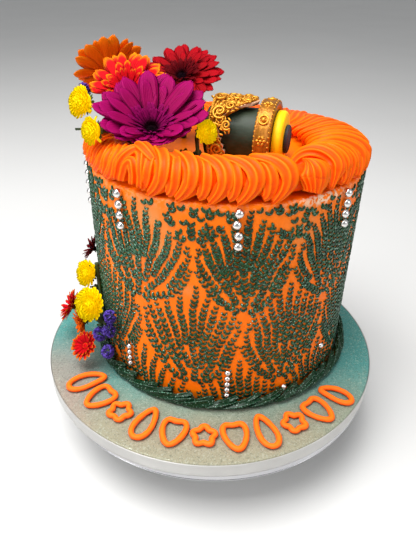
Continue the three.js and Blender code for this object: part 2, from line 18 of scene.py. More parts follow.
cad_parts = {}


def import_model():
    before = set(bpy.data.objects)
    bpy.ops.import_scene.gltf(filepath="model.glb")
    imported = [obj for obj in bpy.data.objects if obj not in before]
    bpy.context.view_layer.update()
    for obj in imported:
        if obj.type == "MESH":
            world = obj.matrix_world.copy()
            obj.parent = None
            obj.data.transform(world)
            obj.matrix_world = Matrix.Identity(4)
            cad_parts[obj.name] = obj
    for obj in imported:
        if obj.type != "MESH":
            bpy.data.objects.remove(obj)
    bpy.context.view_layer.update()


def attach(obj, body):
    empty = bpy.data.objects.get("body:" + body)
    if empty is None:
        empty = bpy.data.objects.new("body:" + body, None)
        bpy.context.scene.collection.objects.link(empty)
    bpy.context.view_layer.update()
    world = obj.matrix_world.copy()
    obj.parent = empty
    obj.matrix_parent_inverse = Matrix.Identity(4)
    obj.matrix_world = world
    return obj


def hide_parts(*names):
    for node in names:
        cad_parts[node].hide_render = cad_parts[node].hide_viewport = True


LOG = logging.getLogger("cake")
Array = np.ndarray
Colour = tuple[float, float, float]

MM = 0.001
TAU = 2 * np.pi
GOLDEN = np.pi * (3 - 5**0.5)
BOARD_TOP = 73.5
CAKE_CENTRE = np.array([9.5, 21.9])
CAKE_RADIUS = 113.4
CAKE_TOP = 181.6
GAP = 0.3


def rgb(red: float, green: float, blue: float) -> Colour:
    """Turns a screen colour of 0 to 255 a channel into linear light.

    Args:
        red, green, blue: the three channels as a screen shows them.

    Returns:
        The same colour as linear numbers from 0 to 1.
    """
    screen = np.array([red, green, blue]) / 255
    linear = np.where(screen <= 0.04045, screen / 12.92, ((screen + 0.055) / 1.055) ** 2.4)
    return tuple(float(channel) for channel in linear)


def unit(vectors: Array) -> Array:
    """Scales vectors along the last axis to length 1."""
    return vectors / np.maximum(np.linalg.norm(vectors, axis=-1, keepdims=True), 1e-9)


def smooth(low: float, high: float, x: Array) -> Array:
    """Runs from 0 at low to 1 at high along the curve 3t^2 - 2t^3."""
    t = np.clip((x - low) / (high - low), 0, 1)
    return t * t * (3 - 2 * t)


def polar(centre: Array, radius: Array, angle: Array, z: Array) -> Array:
    """Points at a radius and an angle round a centre, at height z."""
    radius, angle, z = np.broadcast_arrays(radius, angle, z)
    x = centre[0] + radius * np.cos(angle)
    y = centre[1] + radius * np.sin(angle)
    return np.stack([x, y, z], axis=-1)


def on_side(arc: Array, z: Array, off: Array = 0.0) -> Array:
    """Points on the cake's side: arc from the front in mm, height, and distance off the side."""
    return polar(CAKE_CENTRE, CAKE_RADIUS + off, arc / CAKE_RADIUS - np.pi / 2, z)


def spotted(spots: list[tuple[float, ...]], arc: Array, z: Array, base: float = 0.0) -> Array:
    """Soft round spots on the cake's side, each its amount times e to the minus squared distance.

    Args:
        spots: rows of arc, height, half width, half height and amount.
        arc, z: where on the side.
        base: the amount away from all spots.

    Returns:
        Their sum, kept from 0 to 1.
    """
    total = np.full(np.shape(arc), base)
    for centre, level, wide, tall, amount in spots:
        away = ((arc - centre) / wide) ** 2 + ((z - level) / tall) ** 2
        total = total + amount * np.exp(-away)
    return np.clip(total, 0, 1)


@dataclass
class Shape:
    """A mesh in the making: points in mm, quads, triangles and one number a point for each name."""

    points: Array
    quads: Array
    tris: Array = field(default_factory=lambda: np.zeros((0, 3), int))
    values: dict[str, Array] = field(default_factory=dict)

    @staticmethod
    def joined(parts: list[Shape]) -> Shape:
        """Puts several shapes into one.

        Args:
            parts: the shapes; a value that one of them lacks is 0 there.

        Returns:
            One shape with all their points and faces.
        """
        starts = np.cumsum([0] + [len(part.points) for part in parts])
        names = {name for part in parts for name in part.values}
        return Shape(
            np.concatenate([part.points for part in parts]),
            np.concatenate([part.quads + start for part, start in zip(parts, starts)]),
            np.concatenate([part.tris + start for part, start in zip(parts, starts)]),
            {
                name: np.concatenate(
                    [part.values.get(name, np.zeros(len(part.points))) for part in parts]
                )
                for name in sorted(names)
            },
        )

    @staticmethod
    def tube(rings: Array, closed: bool = False, values: dict[str, Array] | None = None) -> Shape:
        """Joins rings of points into a skin.

        Args:
            rings: (m, n, 3), m rings of n points each.
            closed: the last ring meets the first; otherwise both ends are capped by fans of
                triangles round the end ring's mean point.
            values: one number a point for each name, as (m, n).

        Returns:
            A closed shape with its faces outwards.
        """
        m, n = rings.shape[:2]
        index = np.arange(m * n).reshape(m, n)
        below = np.roll(index, -1, axis=0) if closed else index[1:]
        above = index if closed else index[:-1]
        quads = np.stack(
            [above, below, np.roll(below, -1, axis=1), np.roll(above, -1, axis=1)], axis=-1
        ).reshape(-1, 4)
        points = rings.reshape(-1, 3)
        extra = {name: value.reshape(-1) for name, value in (values or {}).items()}
        tris = np.zeros((0, 3), int)
        if not closed:
            ends = np.stack([rings[0].mean(axis=0), rings[-1].mean(axis=0)])
            first, last = index[0], index[-1]
            tris = np.concatenate([
                np.stack([np.full(n, m * n), first, np.roll(first, -1)], axis=-1),
                np.stack([np.full(n, m * n + 1), np.roll(last, -1), last], axis=-1),
            ])
            points = np.concatenate([points, ends])
            extra = {
                name: np.append(value, [value[:n].mean(), value[-n:].mean()])
                for name, value in extra.items()
            }
        return Shape(points, quads, tris, extra).outward()

    @staticmethod
    def blades(grid: Array, thick: float, values: dict[str, Array] | None = None) -> Shape:
        """Thin closed blades, such as petals. The back is the front moved by thick against its
        normal, which is the cross product of the two grid directions, and both meet at the rim.

        Args:
            grid: (k, m, n, 3), k blades with m rows from base to tip and n columns.
            thick: thickness in mm.
            values: one number a point for each name, as (k, m, n) or what broadcasts to it.

        Returns:
            All the blades as one shape.
        """
        k, m, n = grid.shape[:3]
        normal = unit(np.cross(np.gradient(grid, axis=1), np.gradient(grid, axis=2)))
        back = (grid - thick * normal)[:, 1:-1, 1:-1]
        count = m * n + (m - 2) * (n - 2)
        top = np.arange(m * n).reshape(m, n)
        low = top.copy()
        low[1:-1, 1:-1] = m * n + np.arange((m - 2) * (n - 2)).reshape(m - 2, n - 2)
        up = np.stack([top[:-1, :-1], top[1:, :-1], top[1:, 1:], top[:-1, 1:]], -1).reshape(-1, 4)
        down = np.stack([low[:-1, :-1], low[:-1, 1:], low[1:, 1:], low[1:, :-1]], -1)
        one = np.concatenate([up, down.reshape(-1, 4)])
        quads = (one[None] + count * np.arange(k)[:, None, None]).reshape(-1, 4)
        points = np.concatenate([grid.reshape(k, -1, 3), back.reshape(k, -1, 3)], axis=1)
        made = {}
        for name, value in (values or {}).items():
            full = np.broadcast_to(value, (k, m, n))
            inner = full[:, 1:-1, 1:-1].reshape(k, -1)
            made[name] = np.concatenate([full.reshape(k, -1), inner], axis=1).reshape(-1)
        return Shape(points.reshape(-1, 3), quads, values=made)

    def outward(self) -> Shape:
        """Turns the faces over where the closed skin's signed volume is negative."""
        a, b, c, d = (self.points[self.quads[:, i]] for i in range(4))
        volume = np.sum(np.cross(b - a, c - a) * a) + np.sum(np.cross(c - a, d - a) * a)
        if len(self.tris):
            a, b, c = (self.points[self.tris[:, i]] for i in range(3))
            volume += np.sum(np.cross(b - a, c - a) * a)
        if volume < 0:
            self.quads = self.quads[:, ::-1]
            self.tris = self.tris[:, ::-1]
        return self

    def stamped(self, origins: Array, axes: Array, scales: Array, **values: Array) -> Shape:
        """Copies the shape to many places.

        Args:
            origins: (k, 3), where its zero point goes.
            axes: (k, 3, 3), rows that its x, y and z directions turn into.
            scales: (k,) or (k, 3), its size at each place.
            values: (k,) numbers that every point of a copy gets.

        Returns:
            All the copies as one shape.
        """
        k, n = len(origins), len(self.points)
        sized = self.points[None] * np.reshape(scales, (k, 1, -1))
        points = (origins[:, None] + sized @ axes).reshape(-1, 3)
        shift = n * np.arange(k)[:, None, None]
        kept = {name: np.tile(value, k) for name, value in self.values.items()}
        kept |= {name: np.repeat(value, n) for name, value in values.items()}
        quads = (self.quads[None] + shift).reshape(-1, 4)
        tris = (self.tris[None] + shift).reshape(-1, 3)
        return Shape(points, quads, tris, kept)


def sweep(path: Array, up: Array, section: Array, closed: bool = False,
          values: dict[str, Array] | None = None) -> Shape:
    """Carries a section along a path. Each point of a ring is the path's point plus x times the
    side direction plus y times the up direction, where side is the tangent crossed with up.

    Args:
        path: (m, 3) points.
        up: (m, 3) or (3,), roughly square to the path.
        section: (n, 2) or (m, n, 2), the section's x and y in mm.
        closed: the path ends where it starts.
        values: one number a point for each name, as (m, n).

    Returns:
        The closed shape.
    """
    if closed:
        tangent = unit(np.roll(path, -1, axis=0) - np.roll(path, 1, axis=0))
    else:
        tangent = unit(np.gradient(path, axis=0))
    side = unit(np.cross(tangent, np.broadcast_to(up, path.shape)))
    high = np.cross(side, tangent)
    section = np.broadcast_to(section, (len(path),) + section.shape[-2:])
    rings = path[:, None] + section[..., :1] * side[:, None] + section[..., 1:] * high[:, None]
    return Shape.tube(rings, closed, values)


def flowing(keys: list[tuple[float, ...]], count: int) -> Array:
    """A smooth curve near the keys: the uniform cubic B-spline of them, whose end keys count
    three times so that it starts and stops there.

    Args:
        keys: rows of numbers.
        count: how many rows the curve gets.

    Returns:
        An array with one row a sample.
    """
    knots = np.array([keys[0], keys[0], *keys, keys[-1], keys[-1]], float)
    at = np.linspace(0, len(knots) - 3 - 1e-9, count)
    k = at.astype(int)
    t = (at - k)[:, None]
    return ((1 - t) ** 3 * knots[k] + (3 * t**3 - 6 * t**2 + 4) * knots[k + 1]
            + (-3 * t**3 + 3 * t**2 + 3 * t + 1) * knots[k + 2] + t**3 * knots[k + 3]) / 6


def circle(count: int) -> Array:
    """Points of a circle of radius 1, as (count, 2)."""
    angle = np.arange(count) / count * TAU
    return np.stack([np.cos(angle), np.sin(angle)], axis=-1)


def star(ridges: int, samples: int, depth: float) -> tuple[Array, Array]:
    """The section that a star nozzle pipes: the radius is 1 at sharp ridges and falls by depth
    times the sine between them.

    Args:
        ridges: how many ridges go round.
        samples: points from one ridge to the next.
        depth: share of the radius that the valleys lose.

    Returns:
        The points as (n, 2), and 1 at a ridge to 0 in a valley for each.
    """
    angle = np.arange(ridges * samples) / (ridges * samples) * TAU
    valley = np.abs(np.sin(angle * ridges / 2)) ** 0.9
    return circle(len(angle)) * (1 - depth * valley)[:, None], 1 - valley


def spun(section: Array, angle: Array) -> Array:
    """The (n, 2) section turned by each of m angles, as (m, n, 2)."""
    c, s = np.cos(angle)[:, None], np.sin(angle)[:, None]
    x, y = section.T
    return np.stack([x * c - y * s, x * s + y * c], -1)


def turned(profile: Array, segments: int, centre: Array) -> Shape:
    """Turns a profile of radius and height about an upright axis.

    Args:
        profile: (m, 2) radii and heights, from one end on the axis or back to the start.
        segments: how many steps go round.
        centre: x and y of the axis.

    Returns:
        A closed shape.
    """
    angle = np.arange(segments) / segments * TAU
    rings = polar(centre, profile[:, :1], angle[None], profile[:, 1:])
    if np.allclose(profile[0], profile[-1]):
        return Shape.tube(rings[:-1], closed=True)
    return Shape.tube(rings)


def ball(rows: int, columns: int) -> Shape:
    """A ball of radius 1: rings at heights cos(a) with radius sin(a), and two end fans."""
    polar_angle = (np.arange(rows) + 0.6) / (rows + 0.2) * np.pi
    around = np.arange(columns) / columns * TAU
    rings = np.stack([
        np.sin(polar_angle)[:, None] * np.cos(around)[None],
        np.sin(polar_angle)[:, None] * np.sin(around)[None],
        np.cos(polar_angle)[:, None] * np.ones(columns)[None],
    ], axis=-1)
    made = Shape.tube(rings)
    made.points[-2:, 2] = [1, -1]
    return made


def egg(rows: int, columns: int, at: tuple[float, ...], radii: tuple[float, ...],
        **values: Array) -> Shape:
    """A ball at a place, with a radius along each of x, y and z."""
    return ball(rows, columns).stamped(np.array([at]), np.eye(3)[None], np.array([radii]), **values)


def petal_values(t: Array, v: Array, tone: Array) -> dict[str, Array]:
    """What a petal's finish reads: the places along and across it, and its tone."""
    return {"along": t + 0 * v, "across": v + 0 * t, "tone": tone}


@dataclass(frozen=True)
class Facing:
    """A flower's own frame: its heart, and a face that looks `turn` degrees right of the front
    and `tilt` degrees above level."""

    at: tuple[float, float, float]
    turn: float
    tilt: float

    def axes(self) -> Array:
        """Rows right, up and out of the face."""
        a, e = np.radians(self.turn), np.radians(self.tilt)
        out = np.array([np.sin(a) * np.cos(e), -np.cos(a) * np.cos(e), np.sin(e)])
        right = np.array([np.cos(a), np.sin(a), 0.0])
        up = np.cross(out, right)
        if up[2] < 0:
            right, up = -right, -up
        return np.stack([right, up, out])

    def place(self, local: Array) -> Array:
        """Moves points from the flower's frame to the cake's."""
        return np.array(self.at) + local @ self.axes()


def math_operator(operation: str, swapped: bool = False) -> Callable[[Value, object], Value]:
    """The method behind an operator of Value.

    Args:
        operation: the Math node's operation.
        swapped: the other side comes first.

    Returns:
        A method that adds the node and returns its result.
    """
    def apply(self: Value, other: object) -> Value:
        """Adds the Math node."""
        return self.math(operation, *((other, self) if swapped else (self, other)))

    return apply


class Value:
    """A number socket that takes part in expressions; each operator adds a Math node."""

    def __init__(self, nodes: Nodes, socket: bpy.types.NodeSocket) -> None:
        """Keeps the node tree and the socket."""
        self.nodes = nodes
        self.socket = socket

    def math(self, operation: str, first: object, second: object, clamp: bool = False) -> Value:
        """Adds a Math node of two inputs and returns its result."""
        settings = {"operation": operation, "use_clamp": clamp}
        return self.nodes.value("ShaderNodeMath", settings, {0: first, 1: second})

    __add__ = __radd__ = math_operator("ADD")
    __mul__ = __rmul__ = math_operator("MULTIPLY")
    __sub__ = math_operator("SUBTRACT")
    __rsub__ = math_operator("SUBTRACT", swapped=True)
    __truediv__ = math_operator("DIVIDE")

    def over(self, edge: float) -> Value:
        """1 where the value is above edge, else 0."""
        return self.math("GREATER_THAN", self, edge)

    def clamped(self) -> Value:
        """The value kept between 0 and 1."""
        return self.math("ADD", self, 0.0, clamp=True)

    def sine(self) -> Value:
        """Sine of the value in radians."""
        return self.math("SINE", self, 0.0)

    def eased(self, low: float, high: float) -> Value:
        """Rises from 0 at low to 1 at high with a soft start and end."""
        settings = {"interpolation_type": "SMOOTHSTEP"}
        inputs = {"Value": self, "From Min": low, "From Max": high}
        return self.nodes.value("ShaderNodeMapRange", settings, inputs)


class Nodes:
    """A material's node tree, with a Principled shader that the finishes dress."""

    def __init__(self, name: str) -> None:
        """Makes the material and its shader."""
        self.material = bpy.data.materials.new(name)
        self.material.use_nodes = True
        self.tree = self.material.node_tree
        self.tree.nodes.clear()
        self.shader = self.node("ShaderNodeBsdfPrincipled", {}, {})
        self.node("ShaderNodeOutputMaterial", {}, {"Surface": self.shader.outputs[0]})
        self.place = self.node("ShaderNodeTexCoord", {}, {}).outputs["Object"]

    def node(self, kind: str, settings: dict, inputs: dict) -> bpy.types.Node:
        """Adds a node.

        Args:
            kind: the node's type.
            settings: its properties, set first.
            inputs: what its sockets hold or are linked to, by name or number.

        Returns:
            The node.
        """
        made = self.tree.nodes.new(kind)
        for key, setting in settings.items():
            setattr(made, key, setting)
        self.fill(made.inputs, inputs)
        return made

    def fill(self, sockets: bpy.types.bpy_prop_collection, inputs: dict) -> None:
        """Links sockets to nodes, or sets them where the entry is a plain number or colour."""
        for key, entry in inputs.items():
            socket = sockets[key]
            entry = entry.socket if isinstance(entry, Value) else entry
            if isinstance(entry, bpy.types.NodeSocket):
                self.tree.links.new(entry, socket)
            elif isinstance(entry, tuple) and socket.type == "RGBA":
                socket.default_value = (*entry, 1.0)
            else:
                socket.default_value = entry

    def value(self, kind: str, settings: dict, inputs: dict, output: int | str = 0) -> Value:
        """Adds a node and returns one of its outputs as a number."""
        return Value(self, self.node(kind, settings, inputs).outputs[output])

    def noise(self, scale: float, detail: float = 2.0, stretch: Colour | None = None) -> Value:
        """Soft noise of the given scale per metre, stretched by direction where asked."""
        return self.value("ShaderNodeTexNoise", {}, {
            "Vector": self.stretched(stretch), "Scale": scale, "Detail": detail,
        })

    def stretched(self, stretch: Colour | None) -> bpy.types.NodeSocket:
        """The place on the object, scaled by direction."""
        if stretch is None:
            return self.place
        return self.node("ShaderNodeMapping", {}, {"Vector": self.place, "Scale": stretch}).outputs[0]

    def grains(self, scale: float, output: str = "Color") -> Value:
        """Voronoi grains of the given scale per metre: a random number each, or a distance."""
        return self.value("ShaderNodeTexVoronoi", {}, {"Vector": self.place, "Scale": scale}, output)

    def attribute(self, name: str) -> Value:
        """A number that the mesh carries at each point."""
        return self.value("ShaderNodeAttribute", {"attribute_name": name}, {}, "Fac")

    def axis(self, name: str) -> Value:
        """The X, Y or Z of the place on the object, in metres."""
        return self.value("ShaderNodeSeparateXYZ", {}, {0: self.place}, name)

    def mix(self, share: Value, first: object, second: object,
            blend: str = "MIX") -> bpy.types.NodeSocket:
        """Mixes two colours.

        Args:
            share: 0 gives the first and 1 the second.
            first: a colour or a colour socket.
            second: a colour or a colour socket.
            blend: how the second goes over the first.

        Returns:
            The mixed colour's socket.
        """
        settings = {"data_type": "RGBA", "blend_type": blend, "clamp_factor": True}
        return self.node("ShaderNodeMix", settings, {0: share, 6: first, 7: second}).outputs[2]

    def bump(self, height: Value, depth: float, strength: float = 1.0) -> None:
        """Raises the surface by height times depth, in metres."""
        made = self.node("ShaderNodeBump", {}, {
            "Height": height, "Distance": depth, "Strength": strength,
        })
        self.tree.links.new(made.outputs[0], self.shader.inputs["Normal"])

    def dress(self, **inputs: object) -> bpy.types.Material:
        """Fills the shader's sockets, named with _ for a space, and returns the material."""
        named = {key.replace("_", " "): entry for key, entry in inputs.items()}
        self.fill(self.shader.inputs, named)
        return self.material


def linked(name: str, data: bpy.types.ID) -> bpy.types.Object:
    """Adds an object with the given data to the scene."""
    made = bpy.data.objects.new(name, data)
    bpy.context.scene.collection.objects.link(made)
    return made


def posed(made: bpy.types.Object, axes: list[Array], at: Array) -> None:
    """Puts an object at a place in metres, with its x, y and z along the given axes."""
    turn = Matrix(np.stack(axes, axis=1).tolist()).to_4x4()
    turn.translation = at
    made.matrix_world = turn


@dataclass(frozen=True)
class PolishedSteel:
    """Polished steel of the stand, with faint turning marks and smudges."""

    colour: Colour = rgb(200, 200, 202)
    shine: float = 0.14

    def material(self) -> bpy.types.Material:
        """Builds the material."""
        nodes = Nodes("polished_steel")
        smudge = nodes.noise(28, 4)
        fine = nodes.noise(900, 2, (1.0, 1.0, 6.0))
        nodes.bump(fine, 0.00002)
        tone = nodes.mix(smudge, self.colour, rgb(172, 173, 178))
        return nodes.dress(Base_Color=tone, Metallic=1.0, Roughness=smudge * 0.12 + self.shine)


@dataclass(frozen=True)
class GlitterFoil:
    """The board's glitter foil: teal at the sides and back, an olive gold painted reflection of the
    orange cake at the front, and a pink painted reflection of the flowers on the left."""

    teal: Colour = rgb(74, 146, 140)
    # olive: colour of the painted reflection of the orange cake at the front
    olive: Colour = rgb(150, 146, 122)
    # pink: colour of the painted reflection of the flowers on the left
    pink: Colour = rgb(176, 132, 122)
    grain: float = 1500.0

    def material(self) -> bpy.types.Material:
        """Builds the material."""
        nodes = Nodes("glitter_foil")
        patchy = nodes.noise(30, 4)
        front = (nodes.axis("Y") * -1.0 + (patchy - 0.5) * 0.05).eased(0.03, 0.135)
        left = ((nodes.axis("X") * -1.0 - 0.085) / 0.03).clamped()
        near = (nodes.axis("Y") * -1.0).eased(-0.01, 0.05)
        # the front takes the olive painted reflection, the left near side the pink painted reflection
        base = nodes.mix(front, self.teal, self.olive)
        base = nodes.mix(left * near * 0.5, base, self.pink)
        grains = nodes.grains(self.grain)
        bright = grains.eased(0.72, 0.95)
        dark = (1 - grains).eased(0.7, 0.95)
        base = nodes.mix(dark * 0.45, base, rgb(52, 74, 66))
        base = nodes.mix(bright * 0.55, base, rgb(205, 214, 200))
        base = nodes.mix(nodes.grains(640).eased(0.7, 0.95) * 0.35, base, rgb(186, 190, 172))
        base = nodes.mix(nodes.noise(520, 2).eased(0.56, 0.66) * 0.3, base, rgb(58, 66, 54))
        nodes.bump(grains + nodes.noise(400, 3) * 0.6, 0.00025, 0.7)
        rough = 0.62 - bright * 0.34
        return nodes.dress(Base_Color=base, Metallic=bright * 0.5 + 0.12, Roughness=rough)


@dataclass(frozen=True)
class SatinRibbon:
    """Silver satin ribbon with fine woven lines along it."""

    colour: Colour = rgb(203, 202, 198)

    def material(self) -> bpy.types.Material:
        """Builds the material."""
        nodes = Nodes("satin_ribbon")
        threads = (nodes.axis("Z") * 9000.0).sine()
        soft = nodes.noise(40, 3)
        nodes.bump(threads + soft * 2.0, 0.00003)
        tone = nodes.mix(soft, self.colour, rgb(176, 174, 172))
        return nodes.dress(Base_Color=tone, Metallic=0.35, Roughness=threads * 0.05 + 0.34)


@dataclass(frozen=True)
class Buttercream:
    """Smooth orange buttercream, scraped flat: faint drag marks, pale torn places near the top
    and beige smears where the stencil dragged."""

    colour: Colour = rgb(255, 128, 4)
    deep: Colour = rgb(246, 104, 2)
    smear: Colour = rgb(206, 142, 84)

    def material(self) -> bpy.types.Material:
        """Builds the material."""
        nodes = Nodes("buttercream")
        broad = nodes.noise(22, 3)
        drag = nodes.noise(160, 3, (1.0, 1.0, 0.25))
        base = nodes.mix(broad, self.deep, self.colour)
        smeared = nodes.attribute("smear")
        base = nodes.mix(smeared * drag.eased(0.25, 0.6), base, self.smear)
        torn = nodes.attribute("torn") * nodes.noise(330, 3).eased(0.46, 0.56)
        base = nodes.mix(torn, base, rgb(244, 214, 182))
        nodes.bump(drag + broad * 2.0 - torn * 1.5, 0.0005, 0.6)
        return nodes.dress(Base_Color=base, Roughness=0.5 - broad * 0.12, Specular_IOR_Level=0.15)


@dataclass(frozen=True)
class PipedIcing:
    """Piped orange buttercream: painted highlights along the ridges and redder painted shade in the
    grooves.
    """

    name: str = "piped_icing"
    # ridge: painted highlight colour; groove: painted shade colour
    ridge: Colour = rgb(252, 108, 0)
    groove: Colour = rgb(240, 76, 0)

    def material(self) -> bpy.types.Material:
        """Builds the material."""
        nodes = Nodes(self.name)
        crest = nodes.attribute("crest")
        patchy = nodes.noise(60, 3)
        level = (crest + (patchy - 0.5) * 0.4).eased(0.1, 0.85)
        base = nodes.mix(level, self.groove, self.ridge)
        # a brighter painted highlight on the highest crests
        base = nodes.mix(crest.eased(0.82, 1.0) * 0.4, base, rgb(255, 144, 20))
        nodes.bump(nodes.noise(700, 3) + patchy * 2.0, 0.00018, 0.6)
        return nodes.dress(Base_Color=base, Roughness=0.4 + patchy * 0.12, Specular_IOR_Level=0.1)


@dataclass(frozen=True)
class LustreGreen:
    """Dark green buttercream brushed with pale lustre, thick with glitter in places, with painted
    highlights in the lustre's pale colour along its raised crests.
    """

    name: str = "lustre_green"
    deep: Colour = rgb(4, 38, 14)
    lively: Colour = rgb(14, 66, 24)
    dust_and_highlight: Colour = rgb(92, 146, 118)
    dust_and_highlight_share: float = 0.4
    rough: float = 0.32

    def material(self) -> bpy.types.Material:
        """Builds the material."""
        nodes = Nodes(self.name)
        tone = nodes.attribute("tone")
        glitter = nodes.attribute("glitter")
        crest = nodes.attribute("crest")
        fine = nodes.noise(900, 2)
        grains = nodes.grains(1300)
        base = nodes.mix(tone, self.deep, self.lively)
        # edge: the raised crests, where the lustre's pale colour is a painted highlight
        edge = crest.eased(0.6, 1.0) * fine.eased(0.5, 0.66)
        powder_and_highlight = (edge * self.dust_and_highlight_share + glitter * fine.eased(0.4, 0.7) * 0.6).clamped()
        base = nodes.mix(powder_and_highlight, base, self.dust_and_highlight)
        spark = grains.eased(0.8, 0.92) * (glitter * 0.9 + 0.3).clamped()
        base = nodes.mix(spark, base, rgb(196, 230, 212))
        nodes.bump(fine + grains * 0.5, 0.00022, 0.7)
        metal = (powder_and_highlight * 0.2 + spark * 0.5).clamped()
        return nodes.dress(Base_Color=base, Metallic=metal, Roughness=self.rough + fine * 0.1,
                           Specular_IOR_Level=0.25)


@dataclass(frozen=True)
class SilverPearl:
    """Silver sugar pearls, almost a mirror."""

    colour: Colour = rgb(236, 234, 232)

    def material(self) -> bpy.types.Material:
        """Builds the material."""
        nodes = Nodes("silver_pearl")
        soft = nodes.noise(500, 2)
        nodes.bump(soft, 0.00006)
        tone = nodes.mix(soft, self.colour, rgb(214, 211, 208))
        return nodes.dress(Base_Color=tone, Metallic=1.0, Roughness=soft * 0.16 + 0.1)


@dataclass(frozen=True)
class GoldPaint:
    """Gold paint over moulded fondant: brown painted shade in the hollows, pinkish bare fondant at cut
    edges.
    """

    colour: Colour = rgb(204, 140, 34)
    hollow_shade: Colour = rgb(150, 90, 16)
    bare: Colour = rgb(214, 170, 138)

    def material(self) -> bpy.types.Material:
        """Builds the material."""
        nodes = Nodes("gold_paint")
        crest = nodes.attribute("crest")
        fine = nodes.noise(420, 4)
        # low crest, in the hollows, takes the painted shade colour
        base = nodes.mix((crest + (fine - 0.5) * 0.8).eased(0.1, 0.9), self.hollow_shade, self.colour)
        base = nodes.mix(nodes.attribute("bare"), base, self.bare)
        nodes.bump(fine, 0.0004, 0.8)
        metal = 0.6 - nodes.attribute("bare") * 0.6
        return nodes.dress(Base_Color=base, Metallic=metal, Roughness=0.3 + fine * 0.14)


@dataclass(frozen=True)
class Fondant:
    """Rolled fondant with pale dusty specks and patches, and painted light that makes its upper side
    paler.
    """

    name: str
    colour: Colour
    dust_and_highlight: Colour
    dust_and_highlight_share: float
    sheen: float = 0.45

    def material(self) -> bpy.types.Material:
        """Builds the material."""
        nodes = Nodes(self.name)
        fine = nodes.noise(260, 4, (0.5, 1.0, 1.0))
        specks = nodes.grains(900).eased(0.86, 0.98)
        # share: painted light on the upper side through crest, and pale patches from noise
        share = (nodes.attribute("crest") * 0.7 + fine.eased(0.35, 0.75) * 0.5) * self.dust_and_highlight_share
        base = nodes.mix(share, self.colour, self.dust_and_highlight)
        base = nodes.mix(specks * self.dust_and_highlight_share * 0.5, base, self.dust_and_highlight)
        nodes.bump(fine, 0.0004, 0.5)
        return nodes.dress(Base_Color=base, Roughness=self.sheen + fine * 0.12,
                           Specular_IOR_Level=0.25)


@dataclass(frozen=True)
class Petal:
    """A fresh petal: colour from base to tip, light veins along it, the tip's colour along
    its edges by the share `edge`, and painted light by `glow`, its colour given off as emission."""

    name: str
    base: Colour
    middle: Colour
    tip: Colour
    tip_from: float = 0.75
    rough: float = 0.5
    edge: float = 0.2
    glow: float = 0.0

    def material(self) -> bpy.types.Material:
        """Builds the material."""
        nodes = Nodes(self.name)
        along = nodes.attribute("along")
        across = nodes.attribute("across")
        tone = nodes.attribute("tone")
        patchy = nodes.noise(90, 3)
        colour = nodes.mix((along + (patchy - 0.5) * 0.2).eased(0.05, 0.55), self.base, self.middle)
        aside = across * across
        rim = (along + aside * self.edge * along + (patchy - 0.5) * 0.2).eased(self.tip_from, 1.05)
        colour = nodes.mix(rim, colour, self.tip)
        veins = (across * 26.0).sine() * 0.5 + 0.5
        shade = (tone * 0.16 + veins * along * 0.12).clamped()
        colour = nodes.mix(shade, colour, self.base)
        nodes.bump(veins * 0.6 + patchy, 0.0003, 0.8)
        rough = self.rough + patchy * 0.15
        return nodes.dress(Base_Color=colour, Roughness=rough, Specular_IOR_Level=0.06,
                           Emission_Color=colour, Emission_Strength=self.glow)


@dataclass(frozen=True)
class Foliage:
    """Stems, calyxes and small dark leaves."""

    colour: Colour = rgb(58, 84, 30)
    dark: Colour = rgb(26, 40, 20)

    def material(self) -> bpy.types.Material:
        """Builds the material."""
        nodes = Nodes("foliage")
        patchy = nodes.noise(180, 3)
        base = nodes.mix(patchy.eased(0.3, 0.7), self.dark, self.colour)
        nodes.bump(patchy, 0.0004, 0.6)
        return nodes.dress(Base_Color=base, Roughness=0.5 + patchy * 0.15)


@dataclass(frozen=True)
class Tabletop:
    """Plain pale floor."""

    colour: Colour = rgb(222, 221, 219)

    def material(self) -> bpy.types.Material:
        """Builds the material."""
        nodes = Nodes("tabletop")
        soft = nodes.noise(3, 2)
        tone = nodes.mix(soft, self.colour, rgb(214, 213, 211))
        return nodes.dress(Base_Color=tone, Roughness=0.6)


class Slot(Enum):
    """Material slot names; the flowers and the drum's pieces name one, which nothing reads."""

    STEEL = "polished_metal"
    BOARD = "board_glitter"
    RIBBON = "satin_ribbon"
    CAKE = "cake_buttercream"
    ORANGE_PIPING = "orange_piping"
    GREEN_PIPING = "green_piping"
    GREEN_FONDANT = "green_fondant"
    GOLD = "gold_fondant"
    YELLOW_FONDANT = "yellow_fondant"
    BLACK_FONDANT = "black_fondant"
    MAGENTA = "magenta_petal"
    RED = "red_petal"
    FLAME = "flame_petal"
    ORANGE = "orange_petal"
    YELLOW = "yellow_petal"
    DARK = "dark_petal"
    PURPLE = "purple_floret"
    GREENERY = "greenery"


